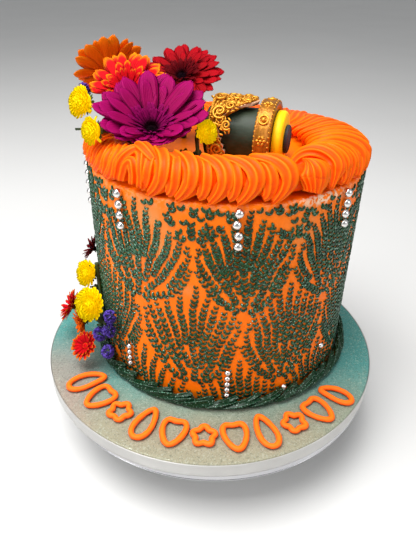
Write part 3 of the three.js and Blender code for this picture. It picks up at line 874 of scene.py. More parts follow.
class Maker:
    """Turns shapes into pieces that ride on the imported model's one body."""

    def __init__(self) -> None:
        """Starts with no materials made."""
        self.materials: dict[object, bpy.types.Material] = {}

    def finish(self, finish: object) -> bpy.types.Material:
        """The material of a finish, made once."""
        if finish not in self.materials:
            self.materials[finish] = finish.material()
        return self.materials[finish]

    def piece(self, name: str, parts: list[tuple[Shape, object]],
              replaces: tuple[str, ...] = ()) -> None:
        """Makes one mesh object.

        Args:
            name: the piece's name.
            parts: shapes with the finish of each.
            replaces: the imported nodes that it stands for.
        """
        whole = Shape.joined([shape for shape, _ in parts])
        mesh = bpy.data.meshes.new(name)
        points = (whole.points + [0, 0, BOARD_TOP]) * MM
        mesh.from_pydata(points.tolist(), [], whole.quads.tolist() + whole.tris.tolist())
        quads = [len(shape.quads) for shape, _ in parts]
        tris = [len(shape.tris) for shape, _ in parts]
        finishes = list(dict.fromkeys(finish for _, finish in parts))
        for finish in finishes:
            mesh.materials.append(self.finish(finish))
        slots = [finishes.index(finish) for _, finish in parts]
        index = np.concatenate([np.repeat(slots, quads), np.repeat(slots, tris)])
        mesh.polygons.foreach_set("material_index", index.astype(np.int32))
        mesh.polygons.foreach_set("use_smooth", np.ones(len(index), bool))
        for key, value in whole.values.items():
            layer = mesh.attributes.new(key, "FLOAT", "POINT")
            layer.data.foreach_set("value", value.astype(np.float32))
        mesh.update()
        made = linked(name, mesh)
        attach(made, "root")
        if replaces:
            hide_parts(*replaces)
        LOG.info("%s: %d faces", name, len(index))


@dataclass
class Stand:
    """A low polished stand: a plate with a rolled rim, a waisted column and a round base."""

    centre: tuple[float, float] = (1.8, 1.2)
    plate_radius: float = 150.4
    plate_top: float = 60.0
    plate_rim: float = 12.0
    base_radius: float = 92.0
    base_height: float = 10.0
    finish: PolishedSteel = PolishedSteel()

    def plate_profile(self) -> Array:
        """Flat top, a crowned rim that falls outwards, and a flat underside."""
        r, top, low = self.plate_radius, self.plate_top, self.plate_top - self.plate_rim
        swell = np.linspace(0, np.pi / 2, 9)
        rim = np.stack([r - 1.8 + 1.8 * np.sin(swell), top - 8.5 * (1 - np.cos(swell))], -1)
        under = np.stack([r - 4 * (1 - np.cos(swell)), low + 3.5 * (1 - np.sin(swell))], -1)
        flat = [[0, top], [r * 0.6, top], [r - 3, top], [r - 2.2, top - 0.1]]
        return np.concatenate([flat, rim, under, [[r * 0.6, low], [0, low]]])

    def column_profile(self) -> Array:
        """A waisted pedestal: the radius falls from the foot to the waist and rises to the head."""
        low, high = self.base_height + GAP, self.plate_top - self.plate_rim - GAP
        t = np.linspace(0, 1, 25)
        radius = 18 + 16 * (1 - smooth(0, 0.4, t)) + 24 * smooth(0.5, 1, t)
        body = np.stack([radius, low + (high - low) * t], -1)
        return np.concatenate([[[0, low]], body, [[0, high]]])

    def base_profile(self) -> Array:
        """A shallow foot with a rounded rim that rises to the column."""
        r = self.base_radius
        rim = np.array([[r - 1.5, 0], [r - 0.4, 0.4], [r, 1.5], [r - 0.5, 3], [r - 1.5, 4]])
        t = np.linspace(0, 1, 12)
        rise = np.stack([r - 3 - (r - 41) * t, 4.2 + 5.8 * t**1.4], -1)
        return np.concatenate([[[0, 0]], rim, rise, [[0, self.base_height]]])

    def build(self, maker: Maker) -> None:
        """Makes the three pieces."""
        down = np.array([0, BOARD_TOP])
        for name, profile in (
            ("stand_plate", self.plate_profile()),
            ("stand_column", self.column_profile()),
            ("stand_base", self.base_profile()),
        ):
            shape = turned(profile - down, 160, np.array(self.centre))
            maker.piece(f"{name}_polished", [(shape, self.finish)], (name,))


@dataclass
class Board:
    """A drum board covered in glitter foil, with a satin ribbon round its side."""

    radius: float = 152.0
    thick: float = 13.2
    ribbon: float = 0.5

    def build(self, maker: Maker) -> None:
        """Makes the board and its ribbon."""
        r, t = self.radius, self.thick
        profile = np.array([
            [0, 0], [60, 0], [110, 0], [140, 0], [r - 1.6, 0], [r - 0.6, -0.15], [r, -0.9],
            [r, -t + 0.6], [r - 0.6, -t], [100, -t], [0, -t],
        ])
        board = turned(profile, 192, np.zeros(2))
        maker.piece("glitter_board", [(board, GlitterFoil())], ("cake_board",))
        inner = r + GAP
        wave = np.linspace(-t + 0.4, -0.5, 9)
        out = inner + self.ribbon - 0.12 * np.sin(np.linspace(0, np.pi, 9))
        band = np.concatenate([
            [[inner, -t + 0.4]], np.stack([out, wave], -1), [[inner, -0.5], [inner, -t + 0.4]],
        ])
        ribbon = turned(band, 192, np.zeros(2))
        maker.piece("ribbon_wrap", [(ribbon, SatinRibbon())], ("board_ribbon",))


@dataclass
class Stencil:
    """Green relief fans on the cake's side. Fans stand in rows, each row half a fan across from
    the next. From a fan's hub, fronds of chevron leaflets spread up to its outline."""

    period: float = 74.4
    fans: int = 10
    lift: float = 1.15
    leaflet: float = 3.0
    pitch: float = 4.3
    near: float = 4.1
    widest: float = 34.8
    lowest: float = 7.0
    highest: float = 178.5
    hubs: tuple[tuple[float, float], ...] = ((-22.6, 21.0), (14.6, 91.0), (14.6, -50.0), (-22.6, 158.0))

    def tips(self) -> Array:
        """Ends of the fronds of one half fan, from the middle outwards, from its hub."""
        return np.array([
            [0.0, 95.0], [-9.5, 89.0], [-17.0, 82.5], [-24.0, 76.0], [-30.0, 70.0], [-33.5, 62.0],
            [-34.5, 54.0], [-34.8, 46.5], [-34.8, 39.0],
        ])

    def frond(self, tip: Array) -> tuple[Array, Array]:
        """Leaflet places along one frond: the curve from hub to tip is a quadratic whose middle
        point lies near the axis for inner fronds and low for outer ones.

        Args:
            tip: the frond's end from the hub.

        Returns:
            Places from the tip inwards, and the unit direction towards the tip at each.
        """
        share = abs(tip[0]) / self.widest
        bend = tip * np.array([0.26 + 0.5 * share, 0.5 - 0.1 * share])
        t = np.linspace(1, 0, 160)[:, None]
        curve = tip * t**2 + 2 * bend * t * (1 - t)
        length = np.concatenate([[0], np.cumsum(np.linalg.norm(np.diff(curve, axis=0), axis=1))])
        steps = np.arange(0, length[-1] - 2, self.pitch)
        places = np.stack([np.interp(steps, length, curve[:, i]) for i in range(2)], -1)
        ahead = np.stack([np.interp(steps + 0.6, length, curve[:, i]) for i in range(2)], -1)
        return places, unit(places - ahead)

    def half_fan(self) -> Array:
        """Leaflets of one half fan as rows x, z, direction x, direction z, size. Each frond stops
        where it would run into one that is already laid."""
        laid = np.zeros((0, 5))
        tips = self.tips()
        for k in (0, 8, 4, 2, 6, 1, 3, 5, 7):
            places, heading = self.frond(tips[k])
            step = np.arange(len(places))
            size = np.clip(0.6 + 0.12 * step, 0.6, 1.0)
            clear = np.ones(len(places), bool)
            if len(laid):
                near = np.linalg.norm(places[:, None] - laid[None, :, :2], axis=-1).min(axis=1)
                clear = near > self.near
            if k:
                clear &= places[:, 0] < -2.0
            first_miss = np.argmax(~clear) if (~clear).any() else len(places)
            kept = slice(0, first_miss)
            laid = np.concatenate([
                laid, np.column_stack([places[kept], heading[kept], size[kept]]),
            ])
        return laid

    def spread(self, leaflets: Array) -> Array:
        """Maps the even layout to the cake: the arcs stretch a little on the left and close up
        at the back so that ten fans go round, the heights close up under the top border, and
        slow sines sway it all as a hand-held stencil slips."""
        whole = self.period * self.fans / 2
        turn = np.pi * CAKE_RADIUS
        arcs = [-whole, -97, -59.8, -22.6, 14.6, 51.8, 89, 126, whole]
        real = [-turn, -108, -68, -22.6, 14.4, 51.8, 89, 126, turn]
        shift = (leaflets[:, 0] + whole) % (2 * whole) - whole
        made = leaflets.copy()
        made[:, 0] = np.interp(shift, arcs, real)
        made[:, 1] = np.interp(leaflets[:, 1], [-60, 91, 125, 200, 300], [-60, 91, 125, 186, 270])
        sway = made[:, :2] / [23, 17]
        made[:, 0] += 1.3 * np.sin(sway[:, 1] * 1.3 + sway[:, 0]) + 0.7 * np.sin(sway[:, 1] * 3.1)
        made[:, 1] += 1.6 * np.sin(sway[:, 0] * 1.9 + 1.0) + 1.0 * np.sin(sway[:, 0] * 4.3)
        return made

    def chevron(self) -> Shape:
        """One pair of leaflets: a heart-like outline with a raised, softly ridged top. Two rings
        of the same outline, the upper one drawn in, are closed above and below."""
        half = np.array([[0, -0.62], [0.62, -0.4], [1.0, 0.12], [1.02, 0.62], [0.74, 0.86], [0.4, 0.42]])
        outline = np.concatenate([half, [[0, -0.02]], half[:0:-1] * [-1, 1]])
        middle = outline.mean(axis=0) * [0, 1]
        drawn = (outline - middle) * 0.62 + middle
        low = np.column_stack([outline, np.full(12, -0.25)])
        side = np.column_stack([outline * 0.97, np.full(12, 0.55)])
        top = np.column_stack([drawn, np.full(12, 1.0)])
        rings = np.stack([low, side, top])
        crest = np.repeat([0.0, 0.65, 1.0], 12).reshape(3, 12)
        made = Shape.tube(rings, values={"crest": crest})
        made.points[-1, 2] = 0.82
        return made

    def build(self, maker: Maker) -> None:
        """Stamps the leaflets round the cake, one piece a row of fans."""
        half = self.half_fan()
        fan = np.concatenate([half, half[half[:, 0] < -0.1] * [-1, 1, -1, 1, 1]])
        rng = np.random.default_rng(5)
        chevron = self.chevron()
        for name, (arc, hub) in zip(("fans_middle", "fans_upper", "fans_foot", "fans_rim"), self.hubs):
            starts = arc + self.period * np.arange(self.fans)
            flat = np.concatenate([fan + [start, hub, 0, 0, 0] for start in starts])
            placed = self.spread(flat)
            placed = placed[(placed[:, 1] > self.lowest) & (placed[:, 1] < self.highest)]
            thin = 0.5 * smooth(150, 168, placed[:, 1]) * (name == "fans_rim")
            placed = placed[rng.random(len(placed)) > thin]
            count = len(placed)
            placed[:, :2] += rng.normal(0, 0.16, (count, 2))
            angle = placed[:, 0] / CAKE_RADIUS - np.pi / 2
            along = np.stack([-np.sin(angle), np.cos(angle), np.zeros(count)], -1)
            out = np.stack([np.cos(angle), np.sin(angle), np.zeros(count)], -1)
            turn = np.arctan2(placed[:, 3], placed[:, 2]) + rng.normal(0, 0.09, count)
            ahead = along * np.cos(turn)[:, None] + [0, 0, 1] * np.sin(turn)[:, None]
            right = np.cross(ahead, out)
            size = placed[:, 4] * rng.uniform(0.9, 1.08, count) * self.leaflet
            lift = self.lift * rng.uniform(0.8, 1.15, count)
            scales = np.stack([size, size, lift], -1)
            glitter = Cake.glitter_and_reflection(placed[:, 0], placed[:, 1])
            relief = chevron.stamped(
                on_side(placed[:, 0], placed[:, 1]), np.stack([right, ahead, out], 1), scales,
                tone=rng.uniform(0, 1, count), glitter=glitter,
            )
            maker.piece(name, [(relief, LustreGreen())])


@dataclass
class Pearls:
    """Columns of silver pearls, 45 degrees apart: large ones under the rim, small ones at the
    foot, and one loose pearl on the foot border."""

    rim_radius: float = 3.4
    rim_first: float = 177.0
    rim_pitch: float = 8.2
    rim_start: float = -86.6
    foot_radius: float = 2.6
    foot_first: float = 37.0
    foot_pitch: float = 6.1
    foot_start: float = -87.6
    rim_counts: tuple[int, ...] = (4, 4, 4, 5, 4, 4, 6, 4)
    foot_counts: tuple[int, ...] = (5, 1, 4, 4, 5, 4, 4, 4)

    def column(self, counts: tuple[int, ...], start: float, first: float, pitch: float,
               lean: float) -> Array:
        """Arc and height of each pearl of one size."""
        rows = []
        for k, count in enumerate(counts):
            n = np.arange(count)
            arc = np.radians(start + 90 + 45 * k) * CAKE_RADIUS
            rows.append(np.column_stack([arc + lean * n, first - pitch * n]))
        return np.concatenate(rows)

    def build(self) -> Shape:
        """All the pearls as one shape, sunk a little into the cake's side."""
        sphere = ball(9, 18)
        rim = self.column(self.rim_counts, self.rim_start, self.rim_first, self.rim_pitch, 0.4)
        foot = self.column(self.foot_counts, self.foot_start, self.foot_first, self.foot_pitch, 0)
        rng = np.random.default_rng(3)
        rim[:, 0] += rng.normal(0, 0.35, len(rim))
        centres = np.concatenate([
            on_side(rim[:, 0], rim[:, 1], self.rim_radius * 0.62),
            on_side(foot[:, 0], foot[:, 1], self.foot_radius * 0.62),
        ])
        radii = np.repeat([self.rim_radius, self.foot_radius], [len(rim), len(foot)])
        axes = np.tile(np.eye(3), (len(radii), 1, 1))
        return sphere.stamped(centres, axes, radii)


@dataclass
class Cake:
    """The tall round cake body with its scraped sides and sharp upper edge."""

    edge: float = 2.5

    @staticmethod
    def glitter_and_reflection(arc: Array, z: Array) -> Array:
        """How thick the glitter lies: full on the left side, where it also stands for painted reflection
        on the side that faces left, and in a patch low on the right of the front, as soft round spots
        over the arc and the height."""
        spots = [(-92, 120, 46, 90, 1.0), (-56, 148, 18, 22, 0.9), (-48, 112, 16, 20, 0.6),
                 (17, 88, 20, 22, 0.8), (-22, 44, 18, 16, 0.5), (70, 60, 40, 60, 0.45),
                 (110, 90, 40, 90, 0.55), (45, 150, 26, 26, 0.35)]
        return spotted(spots, arc, z, 0.08)

    @staticmethod
    def smears(arc: Array, z: Array) -> Array:
        """Where the side is smeared beige: soft spots over the arc and the height."""
        spots = [(-50, 152, 12, 16, 0.95), (-62, 168, 12, 12, 0.6), (34, 118, 9, 5, 0.9),
                 (-78, 128, 14, 12, 0.6), (60, 158, 16, 14, 0.5), (-30, 112, 9, 5, 0.5)]
        return spotted(spots, arc, z)

    def build(self, maker: Maker) -> None:
        """Makes the body with its pearls. The side waves in and out by a few tenths of a mm."""
        r, top, e = CAKE_RADIUS, CAKE_TOP, self.edge
        bend = np.linspace(0, np.pi / 2, 6)
        edge = np.stack([r - e + e * np.cos(bend), top - e + e * np.sin(bend)], -1)
        wall = np.linspace(GAP, top - e, 90)[:-1]
        profile = np.concatenate([
            [[0, GAP]], [[r * 0.6, GAP]], np.stack([np.full(89, r), wall], -1), edge,
            [[r * 0.8, top], [r * 0.4, top], [0, top]],
        ])
        angle = np.arange(360) / 360 * TAU
        radius = profile[:, :1] - 0.12 * (1 - np.cos(5 * angle + profile[:, 1:] / 60)) * (
            profile[:, :1] > 100)
        rings = polar(CAKE_CENTRE, radius, angle[None], profile[:, 1:])
        arc = ((angle + np.pi / 2 + np.pi) % TAU - np.pi) * r
        z = profile[:, 1:] + 0 * arc
        torn = smooth(172, 178, z) * (0.12 + 0.88 * np.exp(-(((arc - 72) / 22) ** 2)))
        side = profile[:, :1] > r - e
        body = Shape.tube(rings, values={"smear": self.smears(arc + 0 * z, z) * side,
                                         "torn": torn * side})
        pearls = Pearls().build()
        parts = [(body, Buttercream()), (pearls, SilverPearl())]
        maker.piece("cake_body", parts, ("cake",))


@dataclass
class TopBorder:
    """A rope of bracket-shaped swirls piped with a star nozzle round the cake's top edge. A
    stroke is set by two curves over the rope's section: `around`, the angle about the rope's
    core from outwards over the top, and `aside`, how far right of the swirl's middle it lies."""

    ring: float = 98.5
    swirls: int = 34
    core: float = 12.6
    half: float = 8.4
    thick: float = 6.4
    crown: int = 5
    shell: int = 11
    dip_at: float = -148.0
    dip_width: float = 13.0
    dip_depth: float = 0.24
    reach: float = 18.2
    line_wide: float = 11.2
    line_high: float = 9.4
    fall: float = 10.0
    fall_out: float = 2.8
    fall_over: float = 50.0
    bracket: tuple[tuple[float, float], ...] = (
        (196, -1), (160, -8), (126, -12), (106, -8), (92, -1), (62, 6.5), (26, 8), (-4, 6.5),
        (-30, 2.5), (-54, -3),
    )
    course: tuple[tuple[float, float, float], ...] = (
        (-180, 0.52, 80.3), (-165, 0.76, 80.3), (-150, 1, 80.3), (-58, 1, 80.3), (-35, 0.98, 70),
        (-20, 0.88, 62), (0, 0.72, 57), (20, 0.6, 57), (40, 0.5, 58), (75, 0.46, 65),
        (110, 0.46, 80.3), (180, 0.52, 80.3),
    )

    def angle(self, k: float) -> float:
        """Degrees round the cake of a swirl's middle, from the back left on round the front."""
        return k / self.swirls * 360 - 179.8

    def dip(self, degrees: Array) -> Array:
        """How high the rope is there: 1 but for a soft dip at the front left."""
        away = (degrees - self.dip_at + 180) % 360 - 180
        return 1 - self.dip_depth * np.exp(-((away / self.dip_width) ** 2))

    def settled(self, points: Array) -> Array:
        """The rope on its course: at each angle its height takes a share of the full one, and
        it stretches inwards from its outer edge to the inner radius there."""
        away = points[:, :2] - CAKE_CENTRE
        radius = np.hypot(away[:, 0], away[:, 1])
        degrees, share, inner = np.array(self.course).T
        at = np.degrees(np.arctan2(away[:, 1], away[:, 0]))
        outer = self.ring + self.reach
        stretch = (outer - np.interp(at, degrees, inner)) / (2 * self.reach)
        made = points.copy()
        made[:, :2] = CAKE_CENTRE + away * ((outer - (outer - radius) * stretch) / radius)[:, None]
        base = CAKE_TOP + GAP
        made[:, 2] = base + (points[:, 2] - base) * np.interp(at, degrees, share)
        return made

    def stroke(self, k: float, around: Array, aside: Array, half: Array, thick: Array,
               ridges: int, lift: Array | float = 0.0, twist: float = 0.0) -> Shape:
        """One fluted stroke over the rope. Its line runs on an ellipse, line_wide by line_high,
        above the core's middle; below it, the line falls and moves out over fall_over degrees.

        Args:
            k: the swirl that it belongs to.
            around: degrees about the core, 0 outwards and 90 up.
            aside: mm right of the swirl's middle.
            half: half the stroke's width along it.
            thick: how far it stands off its line.
            ridges: how many ridges go round it.
            lift: mm that it stands off the rope.
            twist: radians that the ridges turn from end to end.

        Returns:
            The closed stroke.
        """
        turn = np.radians(self.angle(k)) + aside / self.ring
        dip = self.dip(np.degrees(turn))
        bend = np.radians(around)
        below = np.clip(-around / self.fall_over, 0, 1.1)
        above = around > 0
        wide = (self.line_wide + lift) * np.where(above, np.cos(bend), 1) + self.fall_out * below
        high = (self.line_high + lift) * np.where(above, np.sin(bend), 0)
        level = self.core + high - self.fall * below**1.1
        path = polar(CAKE_CENTRE, self.ring + wide, turn, CAKE_TOP + GAP + level * dip)
        core = polar(CAKE_CENTRE, self.ring, turn, CAKE_TOP + GAP + self.core * dip)
        section, crest = star(ridges, 5, 0.27)
        roll = np.linspace(0, twist, len(path)) + np.pi / ridges
        rolled = spun(section, roll) * np.stack([half, thick * dip], -1)[:, None]
        lit = np.broadcast_to(crest, rolled.shape[:2])
        return sweep(path, unit(path - core), rolled, values={"crest": lit})

    def swirl(self, k: int, rng: np.random.Generator) -> list[Shape]:
        """One swirl: a bracket from the inner foot over the top to the outer rim, and the lobe
        that it began with, on its left."""
        size = rng.uniform(0.95, 1.06)
        k = k + rng.uniform(-0.06, 0.06)
        t = np.linspace(0, 1, 40)
        around, aside = flowing(self.bracket, 40).T
        around = around + 6 * (rng.random() - 0.5) * np.sin(np.pi * t)
        aside = aside * rng.uniform(0.92, 1.08) + rng.uniform(-0.5, 0.5)
        full = 0.74 + 0.26 * smooth(0, 0.42, t)
        half = self.half * size * full * (1 - 0.66 * smooth(0.62, 1, t))
        thick = self.thick * size * full * (1 - 0.52 * smooth(0.66, 1, t))
        main = self.stroke(k, around, aside, half, thick, 8, twist=rng.uniform(-0.1, 0.5))
        t = np.linspace(0, 1, 28)
        bow = np.radians(70 - 150 * t)
        around = 20 + 62 * np.sin(bow)
        aside = -10.5 + 6.5 * np.cos(bow) + 1.0 * t + rng.uniform(-0.5, 0.5)
        swell = np.sin(np.pi * (0.14 + 0.76 * t)) ** 0.55
        lobe = self.stroke(k, around, aside, 6.4 * size * swell, 5.2 * size * swell, 7,
                           rng.uniform(0.2, 1.0), rng.uniform(-0.3, 0.3))
        return [main, lobe]

    def shell_strokes(self) -> list[Shape]:
        """A large shell: ridges fan out downwards from one point, under two long arcs."""
        k = self.shell + 0.45
        t = np.linspace(0, 1, 36)
        spread = smooth(0, 0.55, t) * (1 - 0.35 * smooth(0.7, 1, t))
        fan = self.stroke(k, 88 - 136 * t, -2 + 3 * np.sin(np.pi * t), 1.2 + 12.5 * spread,
                          1.0 + 5.8 * spread**0.7, 14)
        t = np.linspace(0, 1, 48)
        parts = [fan]
        for offset, reach, lift in ((0.75, 13.0, 0.6), (1.3, 11.0, 0.0)):
            around = 196 - 244 * t
            aside = reach * np.cos(3.3 * (t - 0.62)) - reach * 0.45
            half = 7.4 * (0.85 + 0.15 * smooth(0, 0.3, t)) * (1 - 0.5 * smooth(0.7, 1, t))
            thick = 6.2 * (1 - 0.5 * smooth(0.7, 1, t))
            parts.append(self.stroke(k + offset, around, aside, half, thick, 8, lift, 0.2))
        return parts

    def crown_strokes(self) -> list[Shape]:
        """A raised, collapsed rosette: an arch, a small arch in it, and a curl over the top."""
        k = self.crown + 0.05
        t = np.linspace(0, 1, 46)
        arch = np.sin(np.pi * t)
        big = self.stroke(k, -42 + 118 * arch**0.8, 11 * np.cos(np.pi * (0.96 - t)) - 1,
                          6.6 - 2.2 * np.abs(2 * t - 1) ** 2, 6.2 - 1.5 * np.abs(2 * t - 1) ** 2, 8,
                          1.2, 0.8)
        small = self.stroke(k, -38 + 70 * arch**0.9, 4.6 * np.cos(np.pi * (0.98 - t)) - 0.5,
                            4.4 - 1.4 * np.abs(2 * t - 1) ** 2, 5.0 + 0 * t, 6, 1.6, 0.5)
        t = np.linspace(0, 1, 34)
        swell = np.sin(np.pi * (0.14 + 0.74 * t)) ** 0.5
        curl = self.stroke(k, 98 - 30 * t - 16 * t**2, -8 + 23 * t, 6.8 * swell, 5.8 * swell, 8,
                           3.6 * np.sin(np.pi * (0.2 + 0.7 * t)), 1.0)
        inner = self.stroke(k, 165 - 60 * t, -9 + 17 * t, 8.4 * swell, 6.4 * swell, 8, 0.4, 0.6)
        return [big, small, curl, inner]

    def build(self, maker: Maker) -> None:
        """Makes the rope: a smooth core and the strokes over it."""
        rng = np.random.default_rng(11)
        angle = np.arange(180) / 180 * TAU
        path = polar(CAKE_CENTRE, self.ring, angle,
                     CAKE_TOP + GAP + 9.0 * self.dip(np.degrees(angle)))
        core = sweep(path, np.array([0, 0, 1.0]), circle(24) * [10.5, 8.4], closed=True)
        parts = [core, *self.shell_strokes(), *self.crown_strokes()]
        skipped = (self.crown, self.shell, self.shell + 1)
        for k in range(self.swirls):
            parts += [] if k in skipped else self.swirl(k, rng)
        whole = Shape.joined(parts)
        whole.points[:, 2] = np.maximum(whole.points[:, 2], CAKE_TOP + GAP)
        whole.points = self.settled(whole.points)
        maker.piece("border_swirls", [(whole, PipedIcing())], ("border_top",))


@dataclass
class FootBorder:
    """Overlapping drags of dark green lustred icing round the cake's foot."""

    ring: float = 119.2
    half: float = 5.2
    drags: int = 40
    span: float = 0.25

    def drag(self, k: float, rng: np.random.Generator, upper: bool = False) -> Shape:
        """One drag: a fluted tube that starts at the cake's side, swells, and trails off
        outwards and down along the ring."""
        t = np.linspace(0, 1, 24)
        span = self.span * rng.uniform(0.85, 1.1) * (0.6 if upper else 1)
        angle = k / self.drags * TAU + span * (0.5 - t) + rng.uniform(-0.03, 0.03)
        swell = np.sin(np.pi * (0.08 + 0.88 * t) ** 0.75) ** 0.6
        high, low = (11.5, 7.5) if upper else (7.2, 3.6)
        path = polar(CAKE_CENTRE, self.ring - (2.4 if upper else 1.2) + 3.0 * t, angle,
                     GAP + high + (low - high) * t)
        section, crest = star(4, 8, 0.4)
        twist = rng.uniform(0, TAU) + rng.uniform(0.4, 1.2) * t
        size = swell[:, None, None] * ([2.4, 2.8] if upper else [self.half - 0.8, 4.4])
        rolled = spun(section, twist) * size
        lit = np.broadcast_to(crest, rolled.shape[:2])
        glow = np.full(lit.shape, 0.12)
        return sweep(path, np.array([0, 0, 1.0]), rolled, values={"crest": lit, "glitter": glow})

    def build(self, maker: Maker) -> None:
        """Makes the whole border, kept off the board's top."""
        rng = np.random.default_rng(17)
        low = [self.drag(k, rng) for k in range(self.drags)]
        high = [self.drag(k + 0.4, rng, True) for k in range(self.drags)]
        whole = Shape.joined(low + high)
        whole.points[:, 2] = np.maximum(whole.points[:, 2], GAP)
        sphere = egg(9, 18, (62.3, -81.5, 12.6), (2.5, 2.5, 2.5))
        # the lustre's pale colour lies on the rope's crests as strong painted highlights
        parts = [(whole, LustreGreen("lustre_rope", dust_and_highlight_share=0.9, rough=0.2)), (sphere, SilverPearl())]
        maker.piece("foot_ropes", parts, ("border_foot",))


@dataclass
class Drum:
    """A small fondant drum on its side: dark barrel, gold band with studs, gold carved collar,
    yellow head and a black spot."""

    at: tuple[float, float] = (40.4, -10.6)
    turn: float = -17.0
    radius: float = 20.2
    left: float = -46.0
    band_half: float = 6.0
    head: float = 7.0
    spot_radius: float = 10.5
    spot_thick: float = 3.0
    band_reach: float = 132.0
    band_outer: float = 29.0
    collar_reach: float = 118.0
    collar_crown: float = 26.0

    def place(self, s: Array, angle: Array, r: Array) -> Array:
        """Points at a distance along the drum's axis, an angle from its top towards the front,
        and a radius."""
        s, angle, r = np.broadcast_arrays(s, angle, r)
        turn = np.radians(self.turn)
        out = r * np.sin(angle)
        return np.stack([
            self.at[0] + s * np.cos(turn) + out * np.sin(turn),
            self.at[1] + s * np.sin(turn) - out * np.cos(turn),
            CAKE_TOP + GAP + self.radius + r * np.cos(angle),
        ], -1)

    def round(self, profile: Array, sides: int = 72) -> Shape:
        """A closed round piece from distances and radii; its upper side counts as lit."""
        angle = np.arange(sides) / sides * TAU
        rings = self.place(profile[:, :1], angle[None], profile[:, 1:])
        lit = np.clip(np.cos(angle - 0.5), 0, 1) ** 3 * np.ones((len(profile), 1))
        return Shape.tube(rings, values={"crest": lit})

    def barrel(self) -> Shape:
        """The barrel, a hair out of round as hand-rolled fondant is."""
        s = np.linspace(self.left + 1, self.band_half, 30)
        r = self.radius - 0.15 * (1 + np.sin(s / 5))
        profile = np.concatenate([
            [[self.left, 0], [self.left, self.radius - 1]], np.stack([s, r], -1),
            [[self.band_half, 0]],
        ])
        return self.round(profile)

    def band(self) -> list[Shape]:
        """The raised band, open underneath, with florets, a ringed medallion and edge beads."""
        reach = np.radians(self.band_reach)
        angle = np.linspace(-reach, reach, 90)
        inner, outer, half = self.radius + GAP, self.band_outer, self.band_half
        bend = np.linspace(0, np.pi, 13)
        across = np.stack([-half * np.cos(bend), outer - 3.6 + 1.6 * np.sin(bend) ** 0.5], -1)
        across[:, 1] += 0.6 * (np.abs(across[:, 0]) > half - 2)
        loop = np.concatenate([[[-half, inner]], across, [[half, inner]]])
        rings = self.place(loop[None, :, 0], angle[:, None], loop[None, :, 1])
        lit = np.broadcast_to(np.concatenate([[0], np.sin(bend) ** 2 * 0.4, [0]]), rings.shape[:2])
        parts = [Shape.tube(rings, values={"crest": lit})]
        for k in range(-2, 3):
            middle = np.radians(k * 32 + 16)
            if k % 2:
                parts += self.medallion(middle, outer - 2.4)
            else:
                parts += self.floret(middle, outer - 2.4)
        beads = np.arange(-17, 18) * np.radians(7.4)
        for edge in (-half + 0.9, half - 0.9):
            parts.append(self.stamp(ball(4, 8), np.full(35, edge), beads, outer - 2.6,
                                    np.full(35, 1.05)))
        return parts

    def stamp(self, shape: Shape, s: Array, angle: Array, r: Array | float, scales: Array,
              spin: Array | float = 0.0, lit: float = 0.85) -> Shape:
        """Stamps a shape on the drum, with its z outwards and its x turned by spin from the
        drum's axis."""
        up = unit(self.place(s, angle, r + 1.0) - self.place(s, angle, r))
        along = unit(self.place(s + 1.0, angle, r) - self.place(s, angle, r))
        side = np.cross(up, along)
        c, d = np.cos(spin), np.sin(spin)
        c, d = (np.broadcast_to(x, len(s))[:, None] for x in (c, d))
        x = along * c + side * d
        axes = np.stack([x, np.cross(up, x), up], 1)
        return shape.stamped(self.place(s, angle, r), axes, scales, crest=np.full(len(s), lit))

    def medallion(self, angle: float, r: float) -> list[Shape]:
        """A ring round a domed stud."""
        t = np.arange(28) / 28 * TAU
        path = self.place(3.3 * np.cos(t), angle + 3.3 * np.sin(t) / r, r + 0.7)
        ring = sweep(path, unit(path - self.place(0, angle, 0.0)), circle(8) * 0.85, closed=True,
                     values={"crest": np.full((28, 8), 0.9)})
        stud = self.stamp(ball(6, 12), np.zeros(1), np.array([angle]), r + 0.3,
                          np.array([[2.1, 2.1, 2.1]]))
        return [ring, stud]

    def floret(self, angle: float, r: float) -> list[Shape]:
        """Six round petals about a bead."""
        turn = np.arange(6) / 6 * TAU
        petals = self.stamp(ball(5, 8), 2.5 * np.cos(turn), angle + 2.5 * np.sin(turn) / r, r + 0.2,
                            np.tile([1.7, 1.2, 1.2], (6, 1)), turn)
        bead = self.stamp(ball(5, 10), np.zeros(1), np.array([angle]), r + 0.9, np.array([1.3]))
        return [petals, bead]

    @staticmethod
    def edge(angle: Array) -> Array:
        """The collar's right edge: a tongue on top as a bell curve, on a waved edge."""
        return -30 + 3 * np.cos(3 * angle) + 19 * np.exp(-((angle / 0.55) ** 2))

    def collar(self) -> list[Shape]:
        """The carved collar: a shell with veins of relief, scrolls, leaves and a corded edge."""
        reach = np.radians(self.collar_reach)
        angle = np.linspace(-reach, reach, 130)[:, None]
        share = np.linspace(0, 1, 48)[None]
        left = self.left + 4.4
        right = self.edge(angle) + 0.5 * np.sin(31 * angle)
        s = left + (right - left) * share
        crown = self.collar_crown + 2.4 * np.exp(-((angle / 0.9) ** 2))
        veins = np.abs(np.sin(11 * angle + 0.34 * (s - left) + 1.2 * np.sin(3 * angle)))
        folds = np.sin(np.pi * share) ** 0.5
        r = crown - 1.8 + (1.5 * veins**0.7 + 0.5 * np.sin(23 * angle + s)) * folds * 0.85
        grid = self.place(s, angle, r)[None]
        bare = smooth(0.955, 0.985, share) * np.ones_like(angle)
        shell = Shape.blades(grid, 3.2, {"crest": (0.15 + 0.75 * veins)[None], "bare": bare[None]})
        return [shell.outward(), *self.scrolls(), *self.cord()]

